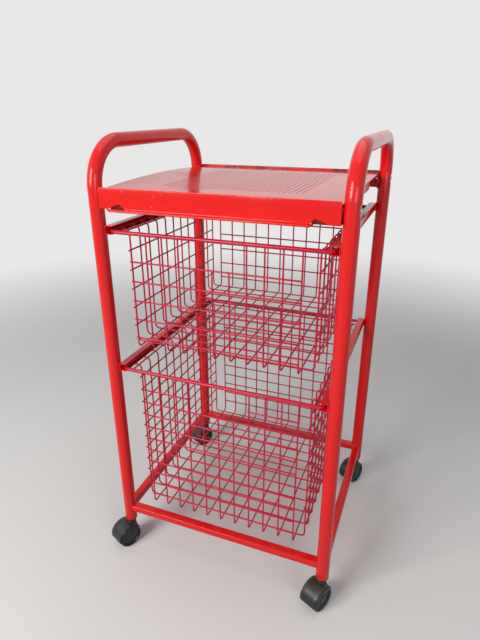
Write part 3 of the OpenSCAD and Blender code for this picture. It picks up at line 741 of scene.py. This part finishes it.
def notch_tabs(solid, end, sizes):
    """The V of sheet at each notch, still joined at its tip and pushed in at the foot."""
    foot, height, t = TRAY_LOW[2] + sizes.lip_thickness, sizes.notch_height, sizes.sheet
    section = [(-1, 1), (0, 1), (1, 1), (1, -1), (0, -1), (-1, -1)]
    for side in (-1, 1):
        outer, tip, inner = notch_marks(side, sizes)
        middle = (outer + inner) / 2
        rings = []
        for v in np.linspace(-0.50, 1.06, 9):
            half = (abs(outer - inner) / 2 - 0.0003) * min(1.0, 1 - v) + 0.0008 * max(0.0, v)
            x = middle + (tip - middle) * max(0.0, v)
            down = height * (1 - v)
            push = sizes.notch_push * held(down / 0.002)
            y = FACE_Y - t / 2 - down * math.sin(push)
            z = foot + height - down * math.cos(push)
            skin_y, skin_z = t * 0.45 * math.cos(push), t * 0.45 * math.sin(push)
            rings.append([(x + u * half, end * (y + w * skin_y), z - w * skin_z) for u, w in section])
        solid.loft(rings)


def slab(solid, upper, lower):
    """A closed slab between two equal grids of points."""
    rows, n = upper.shape[:2]
    count = rows * n
    faces = []
    for a in (i * n + j for i in range(rows - 1) for j in range(n - 1)):
        faces.append((a, a + n, a + n + 1, a + 1))
        faces.append((count + a, count + a + 1, count + a + n + 1, count + a + n))
    rim = [*range(n - 1), *range(n - 1, count - 1, n), *range(count - 1, count - n, -1), *range(count - n, 0, -n)]
    faces += [(a, b, count + b, count + a) for a, b in zip(rim, rim[1:] + rim[:1])]
    solid.add(np.concatenate([upper.reshape(-1, 3), lower.reshape(-1, 3)]), faces)


def tray_sheet(solid, sizes):
    """The tray's flat top with eased side edges, turned up where it meets the rims."""
    face, t = FACE_Y, sizes.sheet
    inner, side_ease, turn = face - sizes.rim_fold, 0.0012, 0.0020
    bow_end, bow_reach = face - 0.012, 0.16  # how far the left edge's bow runs along the edge and into the top
    edge = [side_ease * math.sin(f) for f in np.linspace(0, math.pi / 2, 6)]
    xs = [-TRAY_X + side_ease - e for e in edge[::-1]] + list(np.linspace(-TRAY_X + 0.004, TRAY_X - 0.004, 44)) \
        + [TRAY_X - side_ease + e for e in edge]
    front = [-inner - 0.0004] + [-inner + turn * k / 6 for k in range(7)]
    ys = front + list(np.linspace(-inner + 0.006, inner - 0.006, 40)) + [-y for y in front[::-1]]
    gx, gy = np.meshgrid(xs, ys, indexing="ij")
    over = np.maximum(0, np.abs(gx) - (TRAY_X - side_ease))
    drop = side_ease - np.sqrt(np.maximum(0, side_ease**2 - over**2))
    close = np.clip((np.abs(gy) - (inner - turn)) / turn, 0, 1)
    rise = turn - turn * np.sqrt(np.maximum(0, 1 - close**2))
    bow = sizes.edge_bow * np.clip(1 - (gy / bow_end) ** 2, 0, 1) * np.clip(1 - (gx + TRAY_X) / bow_reach, 0, 1) ** 2
    sag = -0.5 * MM * (1 - (gx / TRAY_X) ** 2) * (1 - (gy / face) ** 2) + 0.15 * MM * wobble(gx * 0.8, gy * 0.8, 2.0)
    settle = np.clip((inner - np.abs(gy)) / 0.03, 0, 1)
    top = TRAY_TOP_Z + rise * 0.6 + (sag + bow) * settle
    slab(solid, np.stack([gx, gy, top - drop], -1), np.stack([gx, gy, top - t + drop * 0.1], -1))
    half, ease = sizes.side_flange / 2, SHEET_EASE
    for side in (-1, 1):
        rings = []
        for y in np.linspace(-half, half, 25):
            up = sizes.edge_bow * (1 - (y / bow_end) ** 2) if side < 0 else 0.0
            low = TRAY_TOP_Z - sizes.side_flange_drop + up + 0.002 * max(0.0, abs(y) / half - 0.96) / 0.04
            high = TRAY_TOP_Z - 0.0008 + up
            section = [(ease, low), (0.0, low + ease), (0.0, (low + high) / 2), (0.0, high),
                       (t, high), (t, (low + high) / 2), (t, low + ease), (t - ease, low)]
            rings.append([(side * (TRAY_X - d), y, z) for d, z in section])
        solid.loft(rings, paired=True)


def at_screws():
    """The four screw axes: side, and the point where each crosses its leg's centre line."""
    return [(side, np.array([side * LEG_X, end * LEG_Y, SCREW_Z])) for side in (-1, 1) for end in (-1, 1)]


def tray_screw(solid, side, place, sizes):
    """A pan-head screw with a cross recess, its head in the hollow of the leg."""
    head_r, shank = max(0.003, (SCREWS_HIGH[1] - SCREWS_LOW[1]) / 2 - LEG_Y), 0.0025
    reach = (SCREWS_HIGH[0] - SCREWS_LOW[0]) / 2 - LEG_X
    seat, past_nut, pitch = reach - sizes.screw_head, 0.0015, 0.00045
    tip = -TUBE_R - TOUCH - sizes.sheet - NUT_DEPTH - past_nut
    thread = [(shank - (0.0003 if k % 2 else 0.0), tip + 0.0004 + pitch * k) for k in range(14)]
    head = [(head_r * math.cos(f), seat + 0.0004 + (reach - seat - 0.0004) * math.sin(f))
            for f in np.linspace(0.1, 1.45, 8)]
    steps = 32
    rings = [circle("x", r, side * h, steps) + place for r, h in
             [(0.0012, tip), *thread, (shank, seat), (head_r * 0.98, seat), (head_r, seat + 0.0003), *head]]
    a = 2 * math.pi * np.arange(steps) / steps
    arm = 0.246  # half the width of the cross's arms, as a share of its radius
    in_cross = np.minimum(np.abs(np.cos(a)), np.abs(np.sin(a))) < arm
    for r, depth in ((head_r * 0.50, 0.0), (head_r * 0.40, 0.0009), (head_r * 0.1, 0.0012)):
        sunk = np.where(in_cross, depth, depth * 0.1)
        rings.append(circle("x", r, side * (reach - TOUCH - sunk), steps) + place)
    solid.loft(rings)


def tray_nut(solid, side, place, sizes):
    """A hexagon nut with chamfered corners behind the tray's ear."""
    low, high = corners("tray_nuts")
    face, across, bore, n = -TUBE_R - 2 * TOUCH - sizes.sheet, (high[1] - low[1]) / 2 - LEG_Y, 0.00255, 48
    back, chamfer = face - NUT_DEPTH, 0.0005
    a = 2 * math.pi * np.arange(n) / n
    hexagon = across * math.cos(math.pi / 6) / np.cos((a + math.pi / 6) % (math.pi / 3) - math.pi / 6)
    small = np.minimum(hexagon, across * 0.9)
    outline = ((bore, face), (small, face), (hexagon, face - chamfer), (hexagon, back + chamfer), (small, back),
               (bore, back))
    solid.loft([circle("x", r, side * h, n) + place for r, h in outline], loop=True)


class Basket:
    """One basket, with its wires laid out from its nodes' boxes."""

    def __init__(self, level, sizes):
        self.level, self.sizes = level, sizes
        rim_low, rim_high = centred(f"{level}_basket_rim")
        long_low, long_high = centred(f"{level}_basket_long_wires")
        rows_low, rows_high = centred(f"{level}_basket_front_rows")
        self.rim_r = (rim_high[2] - rim_low[2]) / 2
        self.rim_z = (rim_high[2] + rim_low[2]) / 2
        self.rim_x = rim_high[0] - self.rim_r
        self.rim_front, self.rim_rear = rim_low[1] + self.rim_r, rim_high[1] - self.rim_r
        self.wire_r = (rows_high[1] - rows_low[1]) / 2
        self.front, self.rear = long_low[1] + self.wire_r, long_high[1] - self.wire_r
        self.bottom = long_low[2] + self.wire_r
        self.shift = (long_low[0] + long_high[0]) / 2
        self.weld_step = 2 * self.wire_r + TOUCH
        self.wall_x = self.rim_x - sizes.wall_inset
        self.long_half = self.wall_x - sizes.long_edge
        self.long_xs = np.linspace(-self.long_half, self.long_half, sizes.long_count) + self.shift
        self.cross_ys = np.linspace(self.front + sizes.cross_edge, self.rear - sizes.cross_edge, sizes.cross_count)
        rows, pitch, drop = (5, 0.0355, 0.050) if level == "upper" else (10, 0.0275, 0.040)
        self.row_zs = self.rim_z - drop - pitch * np.arange(rows)
        self.side_zs = self.row_zs + sizes.side_lift
        self.window_z = self.row_zs[0 if level == "upper" else 1]  # top of the wires below the hand hole

    def swayed(self, path, axis, number):
        """The same wire, a little uneven along an axis below the rim."""
        path = spaced(path, WIRE_STEP)
        drift = wobble(path[:, 1 - axis], path[:, 2], number)
        path[:, axis] += 0.35 * MM * drift * np.clip((self.rim_z - path[:, 2]) / 0.05, 0, 1)
        return path

    def rim(self):
        """The thick wire round the top, closed at the middle of the front."""
        solid, x, z = Solid(), self.rim_x, self.rim_z
        turns = [(0.0, self.rim_front, z), (x, self.rim_front, z), (x, self.rim_rear, z), (-x, self.rim_rear, z),
                 (-x, self.rim_front, z), (0.0, self.rim_front, z)]
        path = spaced(bend_path(turns, self.sizes.rim_corner, 10), 0.03)[:-1]
        rod(solid, path, self.rim_r, sides=24, loop=True)
        return solid

    def long_wires(self):
        """The wires from front to back, the middle three shorter below the hand hole."""
        solid, r = Solid(), self.wire_r
        middle, rim_foot = (self.sizes.long_count - 1) // 2, self.rim_z - self.rim_r * 0.2
        for i, x in enumerate(self.long_xs):
            top = self.window_z if abs(i - middle) < 2 else rim_foot
            path = bend_path([(x, self.front, top), (x, self.front, self.bottom), (x, self.rear, self.bottom),
                              (x, self.rear, rim_foot)], self.sizes.wire_bend, 7)
            rod(solid, self.swayed(path, 0, i), r, round_ends=WIRE_ROUND)
            for z in self.row_zs:
                if z <= top + 0.001:
                    nugget(solid, (x, self.front - r, z), 1)
                nugget(solid, (x, self.rear + r, z), 1)
            for y in self.cross_ys:
                nugget(solid, (x, y, self.bottom + r), 2)
        return solid

    def cross_wires(self):
        """The wires from side to side, with their ends turned out to the rim."""
        solid, r, wall, top = Solid(), self.wire_r, self.wall_x, self.rim_z
        end, bottom = self.rim_x - self.rim_r * 0.9, self.bottom + self.weld_step
        for k, y in enumerate(self.cross_ys):
            path = bend_path([(-end, y, top), (-wall, y, top), (-wall, y, bottom), (wall, y, bottom),
                              (wall, y, top), (end, y, top)], self.sizes.wire_bend, 7)
            rod(solid, self.swayed(path, 1, k), r, round_ends=0.0006)
            for side in (-1, 1):
                for z in self.side_zs:
                    nugget(solid, (side * (wall + r), y, z), 0)
        return solid

    def front_rows(self):
        """The rows across the front. The lower basket's top row leaves the hand hole open."""
        solid, y, half = Solid(), self.front - self.weld_step, self.long_half + self.wire_r + TOUCH
        gap = 2 * (self.long_xs[1] - self.long_xs[0]) - self.wire_r - TOUCH
        for i, z in enumerate(self.row_zs):
            spans = [(-half, -gap), (gap, half)] if self.level == "lower" and i == 0 else [(-half, half)]
            for a, b in spans:
                straight(solid, (a + self.shift, y, z), (b + self.shift, y, z), self.wire_r)
        return solid

    def rear_rows(self):
        """The rows across the rear."""
        solid, y, half = Solid(), self.rear + self.weld_step, self.long_half + self.wire_r + TOUCH
        for z in self.row_zs:
            straight(solid, (-half + self.shift, y, z), (half + self.shift, y, z), self.wire_r)
        return solid

    def side_rows(self):
        """The rows along both sides, and the wire under each side's turned-out ends."""
        solid, r, edge = Solid(), self.wire_r, self.sizes.cross_edge
        for side in (-1, 1):
            x = side * (self.wall_x + self.weld_step)
            for z in self.side_zs:
                straight(solid, (x, self.front + edge - 2 * r, z), (x, self.rear - edge + 2 * r, z), r)
            x, z = side * (self.wall_x + self.sizes.wire_bend), self.rim_z - self.weld_step
            straight(solid, (x, self.front + 2 * r, z), (x, self.rear - 2 * r, z), r)
        return solid


CORNERS = [("front_left", -1, -1), ("front_right", 1, -1), ("rear_left", -1, 1), ("rear_right", 1, 1)]


class Castor:
    """One twin-wheel castor, built about its stem with its wheels trailing to -Y, then turned into place."""

    def __init__(self, corner, side, end, sizes):
        self.corner, self.sizes = corner, sizes
        self.leg = np.array([side * LEG_X, end * LEG_Y, 0.0])
        c, s = math.cos(-sizes.castor_turn), math.sin(-sizes.castor_turn)
        self.turn = np.array([[c, -s, 0], [s, c, 0], [0, 0, 1]])
        low, high = corners(corner + "_wheel_a")
        self.wheel_r = (high[2] - low[2]) / 2
        self.axle = np.array([0.0, -sizes.castor_trail, (high[2] + low[2]) / 2])

    def on_leg(self, points):
        """Points about the leg's centre line, in their place."""
        return np.asarray(points) + self.leg

    def swung(self, points):
        """Points about the stem, in their place."""
        return np.asarray(points) @ self.turn.T + self.leg

    def on_axle(self, points):
        """Points about the middle of the axle, in their place."""
        return self.swung(np.asarray(points) + self.axle)

    def socket(self):
        """Bush in the leg's foot: a collar with an eased edge and a ribbed sleeve."""
        solid = Solid()
        bottom, r, bore = FOOT_Z - 0.0021, TUBE_R - 0.00005, STEM_R + TOUCH
        sleeve, groove = 0.0112, 0.0108
        profile = [(bore, bottom), (r - 0.0008, bottom), (r - 0.0002, bottom + 0.0003), (r, bottom + 0.0009),
                   (r, bottom + 0.0017), (r - 0.0003, bottom + 0.002), (sleeve, bottom + 0.002)]
        for k in range(4):
            z = bottom + 0.008 + 0.008 * k
            profile += [(sleeve, z), (groove, z + 0.001), (groove, z + 0.002), (sleeve, z + 0.003)]
        profile += [(0.0109, bottom + 0.0398), (0.0104, bottom + 0.0404), (bore, bottom + 0.0404)]
        solid.turned(profile, 48, self.on_leg)
        return solid

    def stem(self):
        """Plated pin with a snap groove near its top."""
        solid = Solid()
        low, high = corners(self.corner + "_stem")
        r, bottom, top = STEM_R, low[2], high[2]
        outline = ((r - 0.0004, bottom), (r, bottom + 0.0004), (r, FOOT_Z - 0.004), (r, FOOT_Z), (r, top - 0.008),
                   (r - 0.0006, top - 0.0074), (r - 0.0006, top - 0.0056), (r, top - 0.005), (r, top - 0.0012),
                   (r - 0.0004, top - 0.0004), (r - 0.0012, top))
        solid.loft([self.swung(circle("z", q, z, 32)) for q, z in outline])
        return solid

    def body(self):
        """Moulded body: a hood over both wheels, a web between them and the boss round the stem."""
        solid = Solid()
        gap, t = 0.0005, 0.0016
        inner, outer, half = self.wheel_r + gap, self.wheel_r + gap + t, 0.0175
        rear, front = self.sizes.hood_rear, math.pi + self.sizes.hood_front
        q, slim = t * 0.48, 0.45
        under = [(x, inner) for x in (-half + 0.0002, *np.linspace(-half + 0.001, half - 0.001, 9), half - 0.0002)]
        edge = [(half, outer - q)] + [(half - q + q * math.cos(f), outer - q + q * math.sin(f)) for f in (0.5, 1.0)]
        over = edge + [(x, outer) for x in np.linspace(half - q, q - half, 5)] + [(-x, r) for x, r in edge[::-1]]
        xs, radii = np.array(under + over).T
        middle, rings = inner + t / 2, []
        for f in (rear, rear + 0.02, *np.linspace(rear + 0.06, front - 0.06, 45), front - 0.02, front):
            thin = middle + (radii - middle) * (slim if f in (rear, front) else 1.0)
            rings.append(self.on_axle(about("x", thin * math.cos(f), thin * math.sin(f), xs)))
        solid.loft(rings, paired=True)
        web, disc, ease, n = 0.0041, inner - 0.004, 0.0006, 120  # the web is a disc that fills the hood
        a = 2 * math.pi * np.arange(n) / n
        reach = np.where((a > rear + 0.03) & (a < front - 0.03), inner + t * 0.4, disc)
        solid.loft([self.on_axle(circle("x", reach - less, x, n))
                    for x, less in ((-web, ease), (-web + ease, 0.0), (web - ease, 0.0), (web, ease))])
        foot, top, r = self.axle[2], corners(self.corner + "_castor_body")[1][2], 0.009
        bore = STEM_R + TOUCH
        profile = [(bore, foot), (r - 0.001, foot), (r, foot + 0.001), (r, top - 0.0085), (r - 0.0002, top - 0.006),
                   (r - 0.0004, top - 0.0016), (r - 0.001, top - 0.0005), (r - 0.0018, top), (bore, top)]
        solid.turned(profile, 48, self.swung)
        seam = circle("z", r + 0.0002, foot, 40)
        rise = outer**2 - (seam[:, 1] - self.axle[1]) ** 2
        seam[:, 2] += np.sqrt(np.maximum(rise, (outer * math.sin(rear)) ** 2))
        rod(solid, self.swung(seam), 0.0014, sides=8, loop=True)
        return solid

    def axle_pin(self):
        """Plated axle with chamfered ends."""
        solid = Solid()
        half, r = 0.0182, 0.0025
        end = [(half - 0.0006, r), (half - 0.0002, r - 0.0003), (half, r - 0.0008)]
        outline = [(-x, q) for x, q in end[::-1]] + end
        solid.loft([self.on_axle(circle("x", q, x, 28)) for x, q in outline])
        return solid

    def wheel(self, half):
        """A wheel with a crowned tread, and a raised double ring and a capped hub on its dished face."""
        solid = Solid()
        near, far, r, bore = 0.0045, 0.019, self.wheel_r, 0.00255
        tread = [(0.0016, near), (0.0006, near + 0.0004), (0.0001, near + 0.0014), (0.0, (near + far) / 2),
                 (0.0001, far - 0.0022), (0.0005, far - 0.0009), (0.0013, far - 0.0002), (0.0021, far)]
        rings = [(0.0030, 0.0001), (0.0034, 0.0010), (0.0042, 0.0010), (0.0046, 0.0003), (0.0054, 0.0003),
                 (0.0062, 0.0022)]
        hub = [(0.0098, 0.0025), (0.0090, 0.0022), (0.0086, 0.0014), (0.0070, 0.0012), (0.0062, 0.0006),
               (0.0030, 0.0003), (0.0002, 0.0002), (0.0002, 0.0006), (bore, 0.0007)]
        profile = [(bore, near), *((r - d, x) for d, x in tread), *((r - d, far - x) for d, x in rings),
                   *((q, far - x) for q, x in hub)]
        solid.turned([(q, half * x) for q, x in profile], 72, self.on_axle, axis="x")
        spokes = 6
        for f in 2 * math.pi * np.arange(spokes) / spokes + 0.3:
            path = [(half * (far - 0.0023), q * math.cos(f), q * math.sin(f))
                    for q in np.linspace(0.0086, r - 0.0058, 4)]
            rod(solid, self.on_axle(path), 0.0008, sides=8, round_ends=0.0002)
        return solid


# ---------- operators ----------


class TrolleyOperator:
    """What the operators share. An operator's make builds its pieces."""

    bl_options = {"REGISTER", "UNDO"}

    def execute(self, context):
        self.make(context.scene.trolley_sizes, context.scene.trolley_colours)
        return {"FINISHED"}


class TROLLEY_OT_side_frames(TrolleyOperator, bpy.types.Operator):
    """Build the two bent-tube side frames"""

    bl_idname = "trolley.side_frames"
    bl_label = "Side frames"

    def make(self, sizes, colours):
        finish = finish_named("Frame enamel", enamel, colours)
        for word, side in (("left", -1), ("right", 1)):
            piece(f"{word}_frame_tube", side_frame(side, sizes), "root", [f"{word}_side_frame"],
                  finish)


class TROLLEY_OT_base_rails(TrolleyOperator, bpy.types.Operator):
    """Build the four base rails and their welds"""

    bl_idname = "trolley.base_rails"
    bl_label = "Base rails"

    def make(self, sizes, colours):
        finish = finish_named("Frame enamel", enamel, colours)
        half_w, half_h = (RAIL_HIGH[1] - RAIL_LOW[1]) / 2, (RAIL_HIGH[2] - RAIL_LOW[2]) / 2
        z = (RAIL_HIGH[2] + RAIL_LOW[2]) / 2
        side_to_side, front_to_back = ((1.0, 0.0, 0.0), LEG_X), ((0.0, 1.0, 0.0), LEG_Y)
        for word, centre, (along, span) in (("front", (0.0, -LEG_Y, z), side_to_side),
                                            ("rear", (0.0, LEG_Y, z), side_to_side),
                                            ("left", (-LEG_X, 0.0, z), front_to_back),
                                            ("right", (LEG_X, 0.0, z), front_to_back)):
            solid = Solid()
            coped_rail(solid, sizes, np.array(centre), np.array(along), span, half_w, half_h)
            piece(f"{word}_rail_bar", solid, "root", [f"{word}_rail"], finish)


class TROLLEY_OT_runners(TrolleyOperator, bpy.types.Operator):
    """Build the four C-channel runners"""

    bl_idname = "trolley.runners"
    bl_label = "Runners"

    def make(self, sizes, colours):
        finish = finish_named("Frame enamel", enamel, colours)
        for level in ("upper", "lower"):
            for word, side in (("left", -1), ("right", 1)):
                solid = Solid()
                runner(solid, f"{level}_{word}_runner", side, sizes)
                piece(f"{level}_{word}_channel", solid, "root", [f"{level}_{word}_runner"], finish)


class TROLLEY_OT_tray(TrolleyOperator, bpy.types.Operator):
    """Build the sheet tray with its rims, flanges, lips and ears"""

    bl_idname = "trolley.tray"
    bl_label = "Tray"

    def make(self, sizes, colours):
        finish = finish_named("Tray enamel", enamel, colours, 1.0, True)
        solid = Solid()
        tray_sheet(solid, sizes)
        for end in (-1, 1):
            tray_apron(solid, end, sizes)
            tray_lip(solid, end, sizes)
            notch_tabs(solid, end, sizes)
        piece("tray_top", solid, "root", ["tray"], finish, sharp=32)


class TROLLEY_OT_tray_fasteners(TrolleyOperator, bpy.types.Operator):
    """Build the tray's screws and nuts"""

    bl_idname = "trolley.tray_fasteners"
    bl_label = "Tray screws and nuts"

    def make(self, sizes, colours):
        finish = finish_named("Zinc plate", zinc_plate, colours)
        screws, nuts = Solid(), Solid()
        for side, place in at_screws():
            tray_screw(screws, side, place, sizes)
            tray_nut(nuts, side, place, sizes)
        piece("tray_screw_set", screws, "root", ["tray_screws"], finish)
        piece("tray_nut_set", nuts, "root", ["tray_nuts"], finish, sharp=25)


class TROLLEY_OT_baskets(TrolleyOperator, bpy.types.Operator):
    """Build both wire baskets"""

    bl_idname = "trolley.baskets"
    bl_label = "Wire baskets"

    def make(self, sizes, colours):
        finish = finish_named("Basket coating", wire_coating, colours)
        for level in ("upper", "lower"):
            basket, body = Basket(level, sizes), f"{level}_basket"
            for group in ("rim", "long_wires", "cross_wires", "front_rows", "rear_rows", "side_rows"):
                piece(f"{body}_{group}_wirework", getattr(basket, group)(), body, [f"{body}_{group}"],
                      finish)


class TROLLEY_OT_castors(TrolleyOperator, bpy.types.Operator):
    """Build the four twin-wheel castors"""

    bl_idname = "trolley.castors"
    bl_label = "Castors"

    def make(self, sizes, colours):
        hood = finish_named("Castor plastic", moulded, colours, colours.hood, 0.34, 0.5)
        tyre = finish_named("Wheel plastic", moulded, colours, colours.wheel, 0.30, 0.3)
        zinc = finish_named("Zinc plate", zinc_plate, colours)
        for corner, side, end in CORNERS:
            castor = Castor(corner, side, end, sizes)
            piece(corner + "_bush", castor.socket(), "root", [corner + "_socket"], hood)
            body = corner + "_castor"
            piece(corner + "_pin", castor.stem(), body, [corner + "_stem"], zinc)
            piece(corner + "_hood", castor.body(), body, [corner + "_castor_body"], hood, sharp=30)
            piece(corner + "_axle_pin", castor.axle_pin(), body, [corner + "_axle"], zinc)
            for letter, half in (("a", -1), ("b", 1)):
                piece(f"{corner}_tyre_{letter}", castor.wheel(half), f"{corner}_wheel_{letter}",
                      [f"{corner}_wheel_{letter}"], tyre, sharp=30)


def soft_lamp(name, place, height, width, power, tint=(1.0, 1.0, 1.0)):
    """A square area lamp that faces the trolley's middle at a height."""
    lamp = bpy.data.lights.new(name, "AREA")
    lamp.shape, lamp.size, lamp.size_y, lamp.energy, lamp.color = "RECTANGLE", width, width, power, tint
    obj = bpy.data.objects.new(name, lamp)
    bpy.context.scene.collection.objects.link(obj)
    obj.location = place
    obj.rotation_euler = (Vector((0, 0, height)) - Vector(place)).to_track_quat("-Z", "Y").to_euler()


def aim_camera():
    """The camera stands in front, to the right of the middle and just above the handles."""
    yaw, pitch, roll = -0.374379, 0.397222, -0.002825
    forward = Vector((math.sin(yaw) * math.cos(pitch), math.cos(yaw) * math.cos(pitch), -math.sin(pitch)))
    right = Vector((math.cos(yaw), -math.sin(yaw), 0.0))
    up = right.cross(forward)
    right, up = right * math.cos(roll) + up * math.sin(roll), up * math.cos(roll) - right * math.sin(roll)
    camera = bpy.data.cameras.new("Camera")
    camera.sensor_fit, camera.sensor_height, camera.sensor_width = "VERTICAL", 36.0, 27.0
    camera.lens, camera.clip_start = 28.082, 0.01
    obj = bpy.data.objects.new("Camera", camera)
    bpy.context.scene.collection.objects.link(obj)
    place = Vector((0.32050, -0.89331, 0.88148)) + Vector(MIDDLE)
    obj.matrix_world = Matrix.Translation(place) @ Matrix((right, up, -forward)).transposed().to_4x4()
    bpy.context.scene.camera = obj


class TROLLEY_OT_stage(TrolleyOperator, bpy.types.Operator):
    """Set the pale floor, backdrop, lamps and camera"""

    bl_idname = "trolley.stage"
    bl_label = "Stage"

    def make(self, sizes, colours):
        scene = bpy.context.scene
        steps, radii = 64, (0.6, 1.2, 2.0, 3.0, 5.0, 8.0)
        points = np.concatenate([[(0.0, 0.0, 0.0)]] + [circle("z", r, 0.0, steps) for r in radii]) + MIDDLE
        turn = [(k, (k + 1) % steps) for k in range(steps)]
        faces = [(0, 1 + k, 1 + m) for k, m in turn]
        for a in range(1, (len(radii) - 1) * steps, steps):
            faces += [(a + k, a + steps + k, a + steps + m, a + m) for k, m in turn]
        mesh = bpy.data.meshes.new("floor")
        mesh.from_pydata(points.tolist(), [], faces)
        floor = bpy.data.objects.new("floor", mesh)
        scene.collection.objects.link(floor)
        f = Finish("Pale floor")
        far = ((f.x - float(MIDDLE[0])).power(2) + (f.y - float(MIDDLE[1])).power(2)).power(0.5).ramp(0.9, 2.6)
        seen = seen_directly(f.tree)
        matte = f.node("ShaderNodeBsdfDiffuse", {}, {"Color": f.blend(seen, (0.22, 0.22, 0.22), colours.floor)})
        glow = f.node("ShaderNodeEmission", {}, {"Color": f.blend(seen, (0.12, 0.12, 0.12), colours.backdrop)})
        both = f.node("ShaderNodeMixShader", {}, {0: far, 1: matte.outputs[0], 2: glow.outputs[0]})
        f.node("ShaderNodeOutputMaterial", {}, {0: both.outputs[0]})
        mesh.materials.append(f.material)

        world = bpy.data.worlds.new("Backdrop")
        scene.world = world
        world.use_nodes = True
        tree = world.node_tree
        tree.nodes.clear()
        shown = add_node(tree, "ShaderNodeBackground", {}, {0: (*colours.backdrop, 1)})
        lit = add_node(tree, "ShaderNodeBackground", {}, {0: (0.95, 0.97, 1.0, 1), 1: 0.20})
        seen = seen_directly(tree)
        both = add_node(tree, "ShaderNodeMixShader", {}, {0: seen, 1: lit.outputs[0], 2: shown.outputs[0]})
        add_node(tree, "ShaderNodeOutputWorld", {}, {0: both.outputs[0]})

        soft_lamp("key", (-1.1, -2.1, 1.5), 0.45, 1.2, 55, (1.0, 0.985, 0.96))
        soft_lamp("fill", (1.5, -1.9, 1.0), 0.4, 1.2, 14)
        soft_lamp("overhead", (0.1, 0.3, 2.5), 0.4, 1.8, 12)
        scene.view_settings.view_transform = "Standard"
        aim_camera()


class TROLLEY_PT_panel(bpy.types.Panel):
    """The trolley's pieces, in the order in which they are built"""

    bl_idname = "TROLLEY_PT_panel"
    bl_label = "Trolley"
    bl_space_type = "VIEW_3D"
    bl_region_type = "UI"
    bl_category = "Trolley"

    def draw(self, context):
        for operator in OPERATORS:
            self.layout.operator(operator.bl_idname)
        for group in (context.scene.trolley_sizes, context.scene.trolley_colours):
            box = self.layout.box()
            for name in group.__annotations__:
                box.prop(group, name)


OPERATORS = (TROLLEY_OT_side_frames, TROLLEY_OT_base_rails, TROLLEY_OT_runners, TROLLEY_OT_tray,
             TROLLEY_OT_tray_fasteners, TROLLEY_OT_baskets, TROLLEY_OT_castors, TROLLEY_OT_stage)
CLASSES = (TrolleySizes, TrolleyColours, *OPERATORS, TROLLEY_PT_panel)


def register():
    for cls in CLASSES:
        bpy.utils.register_class(cls)
    bpy.types.Scene.trolley_sizes = PointerProperty(type=TrolleySizes)
    bpy.types.Scene.trolley_colours = PointerProperty(type=TrolleyColours)


def unregister():
    del bpy.types.Scene.trolley_colours
    del bpy.types.Scene.trolley_sizes
    for cls in reversed(CLASSES):
        bpy.utils.unregister_class(cls)


def main():
    register()
    for operator in OPERATORS:
        group, name = operator.bl_idname.split(".")
        getattr(getattr(bpy.ops, group), name)()


if __name__ == "__main__":
    main()
